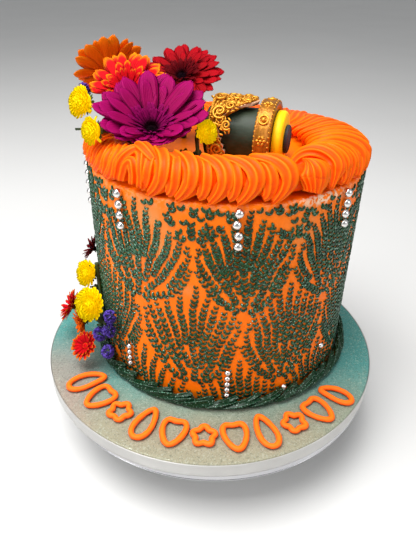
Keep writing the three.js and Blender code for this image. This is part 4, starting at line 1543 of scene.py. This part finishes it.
    def scrolls(self) -> list[Shape]:
        """Spiral scrolls on the collar: distance from each one's centre shrinks evenly as its
        angle grows, and its tube thins with it; leaf-shaped beads lie round each."""
        rows = [(-35, -52, 5.2, 1), (-36, 10, 5.6, -1), (-33.5, 42, 5.6, 1), (-36, 72, 5.4, -1),
                (-26.5, 30, 4.0, -1), (-33, 100, 5.0, 1), (-24, 4, 4.2, 1), (-17, -7, 3.0, -1),
                (-30, -24, 4.4, -1), (-31, -85, 5.0, 1), (-26.5, 62, 3.6, 1), (-15.5, 9, 2.6, 1)]
        parts = []
        t = np.linspace(0, 1, 54)
        bead = ball(5, 8)
        for s0, degrees, size, way in rows:
            a0, base = np.radians(degrees), 26.2 + 1.6 * np.exp(-((np.radians(degrees) / 0.9) ** 2))
            round_ = way * (0.6 + 1.7 * TAU * t)
            off = size * (1 - 0.86 * t)
            path = self.place(s0 + off * np.cos(round_), a0 + off * np.sin(round_) / base,
                              base + 0.5 + 1.0 * t)
            up = unit(path - self.place(s0, a0, 0.0))
            thick = (1.25 - 0.7 * t) * np.sin(np.pi * (0.08 + 0.9 * t)) ** 0.3
            parts.append(sweep(path, up, circle(7)[None] * thick[:, None, None],
                               values={"crest": np.full((54, 7), 0.95)}))
            fan = np.arange(7) / 7 * TAU * 0.75 + way
            reach = size + 1.1
            parts.append(self.stamp(
                bead, s0 + reach * np.cos(fan), a0 + reach * np.sin(fan) / base, base,
                np.tile([2.1, 0.8, 0.9], (7, 1)), fan + 0.5 * way))
        return parts

    def cord(self) -> list[Shape]:
        """A twisted cord of beads just inside the collar's right edge, and one at the left."""
        angle = np.linspace(-2.0, 2.0, 74)
        base = 25.4 + 2.2 * np.exp(-((angle / 0.9) ** 2))
        right = self.edge(angle) - 2.4
        slope = np.arctan2(np.gradient(right), np.gradient(angle) * base)
        parts = []
        for s, lean in ((right, np.pi / 2 - slope - 0.7), (np.full(74, self.left + 6.0), 0.8)):
            parts.append(self.stamp(ball(5, 8), s, angle, base, np.tile([1.7, 0.85, 1.1], (74, 1)),
                                    lean, 0.9))
        return parts

    def disc(self, foot: list[list[float]], front: float, r: float, back: float, drop: float,
             sides: int = 72) -> Shape:
        """A round piece with a rounded front rim.

        Args:
            foot: distances and radii that come before the rim.
            front: where its flat front lies along the axis.
            r: its radius.
            back, drop: how far the rim's rounding reaches along the axis and inwards.
            sides: steps round it.

        Returns:
            The closed piece.
        """
        bend = np.linspace(0, np.pi / 2, 7)
        rim = np.stack([front - back + back * np.sin(bend), r - drop * (1 - np.cos(bend))], -1)
        return self.round(np.concatenate([foot, rim, [[front, 0]]]), sides)

    def build(self, maker: Maker) -> None:
        """Makes the drum's five pieces."""
        end = self.band_half + GAP
        face = end + self.head
        gold = GoldPaint()
        # each fondant's second colour is that of its pale specks and of the painted light on its upper
        # side
        green = Fondant("green_fondant", rgb(22, 32, 15), rgb(84, 98, 80), 0.3, 0.4)
        yellow = Fondant("yellow_fondant", rgb(248, 190, 0), rgb(255, 224, 0), 0.7)
        black = Fondant("black_fondant", rgb(42, 43, 48), rgb(84, 86, 92), 0.4, 0.55)
        head = self.disc([[end, 0], [end, self.radius - 0.4], [end + 0.4, self.radius]],
                         face, self.radius, 3, 3.4)
        spot = self.disc([[face + GAP, 0], [face + GAP, self.spot_radius]],
                         face + self.spot_thick, self.spot_radius, 1.4, 1.6, 40)
        for name, shapes, finish, slot, node in (
            ("barrel_fondant", [self.barrel()], green, Slot.GREEN_FONDANT, "drum_barrel"),
            ("band_carved", self.band(), gold, Slot.GOLD, "drum_band"),
            ("collar_carved", self.collar(), gold, Slot.GOLD, "drum_collar"),
            ("head_fondant", [head], yellow, Slot.YELLOW_FONDANT, "drum_head"),
            ("spot_fondant", [spot], black, Slot.BLACK_FONDANT, "drum_spot"),
        ):
            maker.piece(name, [(shape, finish) for shape in shapes], (node,))


@dataclass(frozen=True)
class Whorl:
    """One ring of petals: how many, where they start and end, their width and form."""

    count: int
    start: float
    reach: float
    width: float
    rise: float
    droop: float = 0.1
    fold: float = 0.16
    spread: float = 0.05
    shift: float = 0.0
    low: float = 1.0
    full: float = 0.66
    rows: int = 10

    def petals(self, rng: np.random.Generator) -> Shape:
        """The ring's petals in the flower's frame. A petal widens from its foot along a sine to
        its full width and ends in a blunt ellipse; its sides rise by fold times the square
        across, its line rises by the tangent of `rise` and sinks by droop times the cube of its
        length.

        Args:
            rng: where their small differences come from.

        Returns:
            All the petals as thin closed blades.
        """
        k = self.count
        angle = (np.arange(k) + self.shift) / k * TAU + rng.normal(0, self.spread, k)
        down = np.clip(-np.sin(angle), 0, 1) ** 0.8
        reach = self.reach * rng.uniform(0.93, 1.0, k) * (1 - (1 - self.low) * down)
        angle, reach = angle[:, None, None], reach[:, None, None]
        t = (1 - (1 - np.linspace(0, 1, self.rows)) ** 1.7)[None, :, None]
        v = np.linspace(-1, 1, 5)[None, None]
        blunt = np.sqrt(np.clip(1 - (np.clip(t - self.full, 0, 1) / (1 - self.full)) ** 2, 0.035, 1))
        half = self.width / 2 * (0.3 + 0.7 * np.sin(np.pi / 2 * np.clip(t / self.full, 0, 1))) * blunt
        half = half * rng.uniform(0.9, 1.08, k)[:, None, None]
        notch = 1 - 0.02 * t**8 * (1 + np.cos(np.pi * 2 * v + rng.uniform(0, 1, k)[:, None, None]))
        out = (self.start + (reach - self.start) * t) * notch
        side = half * v + rng.normal(0, 0.03, k)[:, None, None] * reach * t**2
        groove = 0.05 * self.width * np.cos(np.pi * 2 * v) * np.sin(np.pi * t)
        rise = np.tan(np.radians(self.rise + rng.normal(0, 2.2, k)))[:, None, None] * out
        sag = self.droop * reach * t**3 * rng.uniform(0.4, 1.5, k)[:, None, None]
        roll = rng.normal(0, 0.16, k)[:, None, None] * side * t
        high = rise - sag + self.fold * self.width * v**2 * np.sin(np.pi * t**0.7) - groove + roll
        x = out * np.cos(angle) - side * np.sin(angle)
        y = out * np.sin(angle) + side * np.cos(angle)
        values = petal_values(t, v, rng.uniform(0, 1, (k, 1, 1)))
        grid = np.stack([x, y, high + 0 * x], -1)
        return Shape.blades(grid, min(0.5, self.width * 0.08), values)


@dataclass
class Bloom:
    """A daisy-like flower of several whorls round a disc, on a calyx and a stem."""

    name: str
    facing: Facing
    petal: Petal
    slot: Slot
    rings: tuple[Whorl, ...]
    disc: float = 6.0
    disc_finish: Petal | None = None
    fringe: Petal | None = None
    foot: tuple[float, float, float] | None = None
    stem: float = 2.4
    seed: int = 1

    def disc_shape(self, rng: np.random.Generator) -> Shape:
        """Small spikes in a sunflower spiral on a dome: the n-th lies at the root of n from the
        middle, turned by the golden angle."""
        count = 150
        n = np.arange(count)
        share = np.sqrt((n + 0.5) / count)
        x = self.disc * share * np.cos(n * GOLDEN)
        y = self.disc * share * np.sin(n * GOLDEN)
        z = 2.4 * (1 - share**2) + 0.6 + 0.8 * (share > 0.8)
        scales = np.column_stack([np.full(count, 0.5), np.full(count, 0.5),
                                  rng.uniform(0.7, 1.5, count)])
        spikes = ball(3, 5).stamped(np.stack([x, y, z], -1), np.tile(np.eye(3), (count, 1, 1)),
                                    scales, tone=rng.uniform(0, 1, count), along=share)
        return Shape.joined([spikes, egg(6, 18, (0, 0, 0), (self.disc, self.disc, 2.6))])

    def stem_shape(self) -> list[Shape]:
        """A calyx cup of pointed scales behind the heart and a stem that bends to its foot."""
        scales = Whorl(14, 1.5, self.disc * 1.35, 2.4, -14, 0.0, 0.1, 0.02).petals(
            np.random.default_rng(self.seed))
        scales.points = scales.points - [0, 0, 1.4]
        parts = [scales, egg(6, 14, (0, 0, -2.0), (self.disc * 0.8, self.disc * 0.8, 2.6))]
        for part in parts:
            part.points = self.facing.place(part.points)
        if self.foot is not None:
            start = self.facing.place(np.array([[0, 0, -2.5]]))[0]
            back = self.facing.place(np.array([[0, 0, -16.0]]))[0]
            foot = np.array(self.foot)
            knee = np.array([foot[0], foot[1], max(foot[2] + 22, back[2] - 6)])
            t = np.linspace(0, 1, 22)[:, None]
            path = (start * (1 - t) ** 3 + 3 * back * t * (1 - t) ** 2
                    + 3 * knee * t**2 * (1 - t) + foot * t**3)
            parts.append(sweep(path, np.array([0.3, 1, 0.2]), circle(10) * self.stem))
        return parts

    def build(self, maker: Maker) -> None:
        """Makes the whole flower as one piece."""
        rng = np.random.default_rng(self.seed)
        parts = []
        for whorl in self.rings:
            ring = whorl.petals(rng)
            ring.points = self.facing.place(ring.points)
            parts.append((ring, self.fringe if self.fringe and whorl.width < 4.5 else self.petal))
        disc = self.disc_shape(rng)
        disc.points = self.facing.place(disc.points)
        parts.append((disc, self.disc_finish or self.petal))
        parts += [(part, Foliage()) for part in self.stem_shape()]
        maker.piece(f"{self.name}_petals", parts, (self.name,))


@dataclass
class Mum:
    """A yellow button mum: short cupped petals in a spiral over a dome, on a green calyx."""

    name: str
    facing: Facing
    radius: float
    height: float
    petal: Petal
    foot: tuple[float, float, float] | None = None
    count: int = 150
    seed: int = 1

    def petals(self) -> Shape:
        """Petals whose lean from the axis grows with the root of their number, each turned by
        the golden angle from the last; a petal's line is its lean plus a curl inwards as the
        square of its length."""
        rng = np.random.default_rng(self.seed)
        n = np.arange(self.count)
        share = np.sqrt((n + 0.5) / self.count)
        turn = n * GOLDEN
        lean = np.radians(8 + 80 * share) + rng.normal(0, 0.06, self.count)
        length = self.radius * (0.26 + 0.32 * share) * rng.uniform(0.88, 1.1, self.count)
        ring = np.stack([np.cos(turn), np.sin(turn), 0 * turn], -1)
        side = np.stack([-np.sin(turn), np.cos(turn), 0 * turn], -1)
        axis = np.array([0.0, 0.0, 1.0])
        ahead = ring * np.sin(lean)[:, None] + axis * np.cos(lean)[:, None]
        inner = np.cross(side, ahead)
        inner *= np.sign(-(inner * ring).sum(-1, keepdims=True))
        base = ring * (self.radius * 0.44 * share)[:, None] + axis * (
            self.height * (0.55 - 0.42 * share**2))[:, None]
        t = np.linspace(0, 1, 5)[None, :, None, None]
        v = np.linspace(-1, 1, 3)[None, None, :, None]
        wide = self.radius * 0.15 * np.sin(np.pi * (0.16 + 0.66 * t)) ** 0.6
        size = length[:, None, None, None]
        grid = (base[:, None, None] + ahead[:, None, None] * size * t
                + side[:, None, None] * wide * v
                + inner[:, None, None] * size * (0.22 * t**2 + 0.1 * v**2 * t))
        values = petal_values(t[..., 0], v[..., 0], rng.uniform(0, 1, (self.count, 1, 1)))
        return Shape.blades(grid, 0.35, values)

    def build(self, maker: Maker) -> None:
        """Makes the flower with its calyx and stem."""
        bloom = Bloom(self.name, self.facing, self.petal, Slot.YELLOW, (),
                      disc=self.radius * 0.5, foot=self.foot, stem=1.5, seed=self.seed)
        wide = self.radius * 0.62
        dome = egg(8, 20, (0, 0, self.height * 0.1), (wide, wide, self.height * 0.5),
                   along=np.ones(1))
        head = Shape.joined([self.petals(), dome])
        head.points = self.facing.place(head.points)
        parts = [(head, self.petal)] + [(part, Foliage()) for part in bloom.stem_shape()]
        maker.piece(f"{self.name}_petals", parts, (self.name,))


@dataclass
class Statice:
    """A tuft of small papery florets round a few green stalks."""

    name: str
    at: tuple[float, float, float]
    radii: tuple[float, float, float]
    count: int = 70

    def build(self, maker: Maker) -> None:
        """Scatters ruffled petals over an egg shape: direction by the golden angle, each petal
        a small blade that leans out and is waved across."""
        rng = np.random.default_rng(int(abs(self.at[0]) * 7 + self.at[2]))
        n = np.arange(self.count)
        z = 1 - 2 * (n + 0.5) / self.count
        flat = np.sqrt(1 - z**2)
        out = np.stack([flat * np.cos(n * GOLDEN), flat * np.sin(n * GOLDEN), z], -1)
        base = np.array(self.at) + out * self.radii * 0.42
        lean = unit(out + rng.normal(0, 0.45, out.shape))
        side = unit(np.cross(lean, rng.normal(0, 1, out.shape)))
        up = np.cross(side, lean)
        t = np.linspace(0, 1, 5)[None, :, None, None]
        v = np.linspace(-1, 1, 5)[None, None, :, None]
        size = np.linalg.norm(out * self.radii, axis=-1)[:, None, None, None] * 0.56
        wave = 0.18 * np.sin(6 * v) * t
        grid = (base[:, None, None] + lean[:, None, None] * size * t
                + side[:, None, None] * v * (0.5 + 1.5 * t) + up[:, None, None] * (wave * 3 + t**2))
        values = petal_values(t[..., 0], v[..., 0], rng.uniform(0, 1, (self.count, 1, 1)))
        florets = Shape.blades(grid, 0.3, values)
        heart = egg(6, 12, self.at, tuple(radius * 0.5 for radius in self.radii))
        petal = Petal("statice", rgb(150, 140, 200), rgb(76, 40, 150), rgb(96, 66, 186), 0.6, 0.7)
        maker.piece(f"{self.name}_florets", [(florets, petal), (heart, Foliage())],
                    (self.name,))


@dataclass
class Greens:
    """The greens: a pad that follows the cake's side and small wavy leaves."""

    from_angle: float = -156.0
    to_angle: float = -163.0
    low: float = 13.5
    high: float = 88.0
    wide: float = 8.0

    def leaf(self, start: Array, end: Array, half: float, lift: float) -> Shape:
        """A leaf between two points: its half width is the sine of its length, its midline
        lifts by the same sine and its sides wave."""
        t = np.linspace(0, 1, 13)[:, None, None]
        v = np.linspace(-1, 1, 5)[None, :, None]
        axis = end - start
        side = unit(np.cross(axis, [0, 0, 1.0]))
        up = unit(np.cross(side, axis))
        wide = half * np.sin(np.pi * np.clip(t, 0.02, 0.98)) ** 0.8
        wave = lift * np.sin(np.pi * t) + (1.0 * np.sin(7 * t) + 1.2) * v**2
        grid = (start + axis * t + side * wide * v + up * wave)[None]
        values = {"along": t[None, ..., 0] + 0 * v[None, ..., 0]}
        return Shape.blades(grid, 0.5, values)

    def bed(self, rng: np.random.Generator) -> list[Shape]:
        """Small dark leaves that lie under the top flowers, clear of the border."""
        leaves = []
        for _ in range(46):
            turn, radius = rng.uniform(-2.6, -2.08), rng.uniform(40, 72)
            start = polar(CAKE_CENTRE, radius, turn, CAKE_TOP + 1.6)
            off = polar(np.zeros(2), rng.uniform(5, 8), rng.uniform(0, TAU), rng.uniform(1, 9))
            leaves.append(self.leaf(start, start + off, rng.uniform(1.8, 3.2), 0.6))
        return leaves

    def build(self, maker: Maker) -> None:
        """Makes the pad with its sprigs and the three single leaves."""
        rng = np.random.default_rng(23)
        t = np.linspace(0, 1, 40)
        angle = np.radians(self.from_angle + (self.to_angle - self.from_angle) * t)
        path = polar(CAKE_CENTRE, 116.0, angle, self.low + (self.high - self.low) * t)
        out = polar(np.zeros(2), 1.0, angle, 0.0)
        lump = 1 + 0.18 * np.sin(t * 19)
        half = self.wide * lump * (1 - 0.6 * t) * np.sin(np.pi * np.clip(t, 0.03, 0.97)) ** 0.3
        section = circle(18)[None] * np.stack([half, np.full(40, 1.7)], -1)[:, None]
        pad = [(sweep(path, out, section), Foliage())]
        for _ in range(16):
            share = rng.uniform(0.03, 0.95)
            turn = np.radians(self.from_angle + (self.to_angle - self.from_angle) * share)
            start = polar(CAKE_CENTRE, 117.0, turn, self.low + (self.high - self.low) * share)
            off = polar(np.zeros(2), rng.uniform(4, 8), turn + rng.uniform(-0.8, 0.8),
                        rng.uniform(-2, 9))
            pad.append((self.leaf(start, start + off, rng.uniform(1.2, 2.2), 0.6), Foliage()))
        maker.piece("side_sprigs", pad, ("side_greens",))
        maker.piece("top_foliage", [(leaf, Foliage()) for leaf in self.bed(rng)])
        for name, start, end, half, lift in (
            ("leaf_top_left", (-74, -13, 213.5), (-104, -17, 206), 5.0, -2.0),
            ("leaf_top_right", (-20, -2, 204), (-9, 10, 224), 5.0, -2.0),
            ("leaf_side", (-104, -24, 40), (-94, -45, 45), 4.5, 2.0),
        ):
            shape = self.leaf(np.array(start, float), np.array(end, float), half, lift)
            maker.piece(f"{name}_blade", [(shape, Foliage())], (name,))


class Outline(Enum):
    """The outlines of the piped motifs on the board."""

    HEART = "heart"
    FLOWER = "flower"
    LEAF = "leaf"
    PAISLEY = "paisley"

    def points(self, a: Array) -> tuple[Array, Array]:
        """Width and height of the outline at each angle, as sums of sines and cosines."""
        if self is Outline.HEART:
            y = 0.1 + 0.86 * np.cos(a) - 0.19 * np.cos(2 * a) - 0.06 * np.cos(3 * a)
            return 0.56 * np.sin(a) - 0.04 * np.sin(3 * a), 0.95 * y
        if self is Outline.FLOWER:
            r = 0.52 + 0.08 * np.cos(5 * a)
            return r * np.sin(a), r * np.cos(a)
        if self is Outline.LEAF:
            return 0.44 * np.sin(a) * (1 - 0.3 * np.cos(a)), np.cos(a)
        y = np.cos(a)
        return 0.47 * np.sin(a) * (1 - 0.2 * y) + 0.2 * np.maximum(0, y) ** 2, y


@dataclass
class Motifs:
    """Hearts, flowers, leaves and paisleys piped in a line along the front of the board."""

    kinds: tuple[str, ...] = ("paisley", "heart", "flower", "leaf", "heart", "flower", "heart",
                              "leaf", "flower", "heart", "paisley")
    stroke: float = 2.7
    lift: float = 2.3
    first: float = -147.0
    last: float = -36.0
    size: float = 15.5
    clear: float = 1.4
    board: float = 152.0
    border: float = 124.5

    def motif(self, k: int) -> Shape:
        """One motif: a rounded line along its outline, flat where it lies on the board, whose
        width wavers as a hand-piped line does."""
        angle = np.radians(self.first + (self.last - self.first) * k / (len(self.kinds) - 1))
        out = np.array([np.cos(angle), np.sin(angle)])
        side = np.array([-out[1], out[0]])
        along = float(CAKE_CENTRE @ out)
        inner = along + np.sqrt(along**2 - CAKE_CENTRE @ CAKE_CENTRE + self.border**2)
        ring = (inner + self.board) / 2
        size = min(self.size, (self.board - inner) / 2 - self.stroke - self.clear)
        a = np.arange(96) / 96 * TAU
        x, y = Outline(self.kinds[k]).points(a)
        mirror = -1 if k > (len(self.kinds) - 1) / 2 else 1
        flat = ring * out + (x * size * mirror)[:, None] * side - (y * size)[:, None] * out
        path = np.column_stack([flat, np.full(96, GAP + self.lift)])
        rng = np.random.default_rng(31 + k)
        waver = 1 + 0.05 * np.sin(3 * a + rng.uniform(0, 6)) + 0.03 * np.sin(11 * a + k)
        waver *= 0.96 / waver.max()
        section = circle(16) * [self.stroke, self.lift]
        rings = section[None] * waver[:, None, None]
        rings[..., 1] = np.maximum(rings[..., 1], -self.lift)
        # crest: high on top of the line for a painted highlight, low underneath for painted shade
        crest = np.broadcast_to(0.45 + 0.5 * section[:, 1] / self.lift, (96, 16))
        return sweep(path, np.array([0, 0, 1.0]), rings, closed=True, values={"crest": crest})

    def build(self, maker: Maker) -> None:
        """Makes each motif in its own node's place."""
        # the two colours are the painted highlight and the painted shade of the motif icing
        finish = PipedIcing("motif_icing", rgb(255, 108, 28), rgb(246, 70, 8))
        for k, kind in enumerate(self.kinds):
            node = f"motif_{k + 1:02d}_{kind}"
            maker.piece(f"{node}_piped", [(self.motif(k), finish)], (node,))


class Bouquet:
    """The flowers on the cake's top and at its side."""

    magenta = Petal("magenta_petal", rgb(84, 0, 40), rgb(134, 0, 70), rgb(152, 0, 88), 0.7)
    red = Petal("red_petal", rgb(70, 0, 6), rgb(146, 0, 10), rgb(166, 0, 18), 0.6)
    flame = Petal("flame_petal", rgb(180, 6, 22), rgb(214, 14, 24), rgb(246, 140, 0), 0.84,
                  edge=0.26)
    burnt = Petal("burnt_petal", rgb(196, 56, 0), rgb(232, 92, 0), rgb(244, 124, 10), 0.7)
    # the yellow petals glow a little: painted light
    yellow = Petal("yellow_petal", rgb(250, 196, 0), rgb(255, 216, 0), rgb(255, 224, 0), 0.7,
                   glow=0.3)
    dark = Petal("dark_petal", rgb(54, 0, 12), rgb(96, 2, 10), rgb(124, 6, 18), 0.8)
    dark_disc = Petal("dark_disc", rgb(14, 4, 10), rgb(30, 6, 18), rgb(60, 8, 36), 0.85, 0.7)
    dark_fringe = Petal("dark_fringe", rgb(60, 0, 34), rgb(128, 0, 76), rgb(160, 6, 100), 0.8)
    olive_disc = Petal("olive_disc", rgb(92, 70, 10), rgb(160, 120, 20), rgb(210, 160, 30), 0.8)

    def gerberas(self) -> list[Bloom]:
        """The four large gerberas on top."""
        foot = CAKE_TOP + GAP
        return [
            Bloom("gerbera_magenta", Facing((-46.4, -23.5, 208), 7, 62), self.magenta,
                  Slot.MAGENTA, (
                      Whorl(15, 3, 43.5, 16.5, 24, 0.02, low=0.52),
                      Whorl(14, 3, 41.0, 15.5, 28, 0.03, shift=0.5, low=0.52),
                      Whorl(12, 3, 33.5, 10.0, 32, 0.05, shift=0.2, low=0.56),
                      Whorl(30, 4, 19.0, 3.4, 36, 0.1, low=0.7, rows=7),
                      Whorl(38, 4, 13.5, 2.0, 44, 0.1, low=0.8, rows=6),
                  ), 6.4, self.dark_disc, self.dark_fringe, (-47, -22, foot), 2.6, 41),
            Bloom("gerbera_red", Facing((-28, 46, 231.8), -14, 57), self.red, Slot.RED, (
                Whorl(17, 3, 36, 10.4, 6, 0.04, low=0.8),
                Whorl(16, 3, 34, 9.6, 11, 0.05, shift=0.5, low=0.8),
                Whorl(15, 3, 25, 6.4, 18, 0.05, shift=0.2, low=0.8),
                Whorl(26, 3, 17, 2.8, 30, 0.1, low=0.85, rows=7),
                Whorl(30, 3, 11, 1.8, 42, 0.1, rows=6),
            ), 5.0, self.dark_disc, self.dark, (-27, 48, foot), 2.4, 42),
            Bloom("gerbera_flame", Facing((-66.5, 7.5, 229), -8, 42), self.flame,
                  Slot.FLAME, (
                      Whorl(16, 3, 32, 9.2, 9, 0.03, low=0.42),
                      Whorl(15, 3, 30.5, 8.6, 15, 0.03, shift=0.5, low=0.42),
                      Whorl(13, 3, 21, 6.2, 24, 0.03, shift=0.2, low=0.5),
                      Whorl(22, 3, 15.5, 3.0, 38, 0.1, low=0.7, rows=7),
                  ), 5.0, self.olive_disc, self.flame, (-57, 9, foot), 2.4, 43),
            Bloom("gerbera_orange", Facing((-85, 41, 234), -150, 25), self.burnt,
                  Slot.ORANGE, (
                      Whorl(15, 3, 33, 10.5, 10, 0.02, low=0.6),
                      Whorl(14, 3, 31.5, 9.8, 15, 0.02, shift=0.5, low=0.6),
                  ), 5.0, self.dark_disc, self.burnt, (-57, 33, foot), 2.4, 44),
        ]

    def side_blooms(self) -> list[Bloom]:
        """The smaller blooms of the side spray."""
        def rings(reach: float, count: int, width: float, rise: float) -> tuple[Whorl, ...]:
            """Three whorls that narrow towards the heart."""
            return (
                Whorl(count, 2, reach, width, rise, 0.05),
                Whorl(count, 2, reach * 0.93, width * 0.9, rise + 8, 0.05, shift=0.5),
                Whorl(count - 2, 1.5, reach * 0.74, width * 0.75, rise + 20, 0.05, shift=0.2),
            )

        return [
            Bloom("bloom_side_left", Facing((-130, -4, 34), -80, 30), self.flame,
                  Slot.FLAME, rings(17, 15, 3.9, 18), 2.6, self.olive_disc, seed=51),
            Bloom("bloom_side_back", Facing((-116, -24, 32), -60, -4), self.burnt,
                  Slot.ORANGE, rings(14, 13, 4.6, 18), 3.0, self.olive_disc, seed=52),
            Bloom("bloom_side_low", Facing((-109.5, -46.5, 22), -40, 44), self.flame,
                  Slot.FLAME, rings(14.5, 15, 3.8, 20), 2.4, self.flame, seed=53),
            Bloom("bloom_side_dark", Facing((-107, 8, 91), -80, 30), self.dark, Slot.DARK,
                  rings(13, 11, 3.4, 18), 2.4, self.dark_disc, seed=54),
        ]

    def mums(self) -> list[Mum]:
        """The yellow button mums."""
        foot = CAKE_TOP + GAP
        return [
            Mum("mum_top_left", Facing((-96.5, -12, 225), -50, 20), 12.5, 11, self.yellow,
                (-62, -2, foot), seed=61),
            Mum("mum_top_front", Facing((-85.8, -34, 211.4), -55, 10), 11, 9, self.yellow,
                (-63, -9, foot), seed=62),
            Mum("mum_top_right", Facing((-7.5, -29, 210.5), 38, 20), 9.5, 7, self.yellow,
                (-12, -23, foot), seed=63),
            Mum("mum_side_upper", Facing((-108.5, -14, 78.5), -40, 25), 12.5, 8, self.yellow, seed=64),
            Mum("mum_side_lower", Facing((-102.5, -38, 62), -32, 28), 15.5, 9, self.yellow,
                seed=65, count=190),
        ]

    def statice(self) -> list[Statice]:
        """The purple tufts."""
        return [
            Statice("statice_side_a", (-84.5, -54.5, 61), (5.5, 5.5, 6.5)),
            Statice("statice_side_b", (-86, -55, 47), (6, 6, 7)),
            Statice("statice_side_c", (-96, -49.5, 38.5), (5.8, 5.8, 7)),
            Statice("statice_side_d", (-88.5, -58, 26), (6, 6, 6.5)),
            Statice("statice_top_back", (-101, 9, 229), (5, 5, 6)),
        ]

    def build(self, maker: Maker) -> None:
        """Makes every flower."""
        for flower in (*self.gerberas(), *self.side_blooms(), *self.mums(), *self.statice()):
            flower.build(maker)


@dataclass
class Studio:
    """A pale floor, soft studio light and the camera."""

    eye: tuple[float, float, float] = (0.0, -401.8, 397.5)
    pitch: float = 0.5682
    roll: float = 0.0176
    yaw: float = -0.0084
    sensor: float = 36.0
    lens: float = 520 / 555 * 36.0
    middle: Colour = (0.0, 0.0, 0.2)
    sky: Colour = (0.86, 0.88, 0.9)
    sky_strength: float = 0.42
    floor_half: float = 6.0
    lamps: tuple[tuple[str, Colour, float, float], ...] = (
        ("ceiling", (-0.35, -0.25, 1.5), 1.0, 32), ("window", (-1.2, -0.9, 0.9), 0.9, 9),
        ("fill", (1.3, -0.7, 0.9), 1.0, 7),
    )

    def camera(self) -> None:
        """Places the camera: it looks along the yawed and pitched line, then rolls."""
        yaw, pitch, roll = self.yaw, self.pitch, self.roll
        ahead = np.array([np.sin(yaw) * np.cos(pitch), np.cos(yaw) * np.cos(pitch), -np.sin(pitch)])
        right = np.array([np.cos(yaw), -np.sin(yaw), 0.0])
        up = np.cross(right, ahead)
        x = np.cos(roll) * right + np.sin(roll) * up
        y = -np.sin(roll) * right + np.cos(roll) * up
        data = bpy.data.cameras.new("camera")
        data.sensor_width = self.sensor
        data.sensor_fit = "AUTO"
        data.lens = self.lens
        data.clip_start = 0.01
        data.clip_end = 20
        made = linked("camera", data)
        posed(made, [x, y, -ahead], [c * MM for c in self.eye])
        bpy.context.scene.camera = made

    def floor(self) -> None:
        """A wide pale floor below the stand."""
        half = self.floor_half
        mesh = bpy.data.meshes.new("floor")
        corners = [(-half, -half, 0), (half, -half, 0), (half, half, 0), (-half, half, 0)]
        mesh.from_pydata(corners, [], [(0, 1, 2, 3)])
        mesh.materials.append(Tabletop().material())
        linked("floor", mesh)

    def lamp(self, name: str, at: Colour, size: float, power: float) -> None:
        """One soft square lamp that points at the cake's middle."""
        data = bpy.data.lights.new(name, "AREA")
        data.size = size
        data.energy = power
        back = unit(np.array(at) - np.array(self.middle))
        right = unit(np.cross([0.01, 1.0, 0.02], back))
        posed(linked(name, data), [right, np.cross(back, right), back], at)

    def build(self) -> None:
        """Makes the camera, the floor, the lamps and the pale surroundings."""
        self.camera()
        self.floor()
        for lamp in self.lamps:
            self.lamp(*lamp)
        world = bpy.data.worlds.new("studio")
        world.use_nodes = True
        background = world.node_tree.nodes["Background"].inputs
        background["Color"].default_value = (*self.sky, 1)
        background["Strength"].default_value = self.sky_strength
        bpy.context.scene.world = world
        bpy.context.scene.view_settings.view_transform = "Standard"


def main() -> None:
    """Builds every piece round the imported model."""
    logging.basicConfig(level=logging.INFO, format="%(message)s")
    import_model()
    Studio().build()
    maker = Maker()
    for part in (Stand(), Board(), Cake(), Stencil(), TopBorder(), FootBorder(), Drum(), Bouquet(),
                 Greens(), Motifs()):
        part.build(maker)
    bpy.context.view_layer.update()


if __name__ == "__main__":
    main()
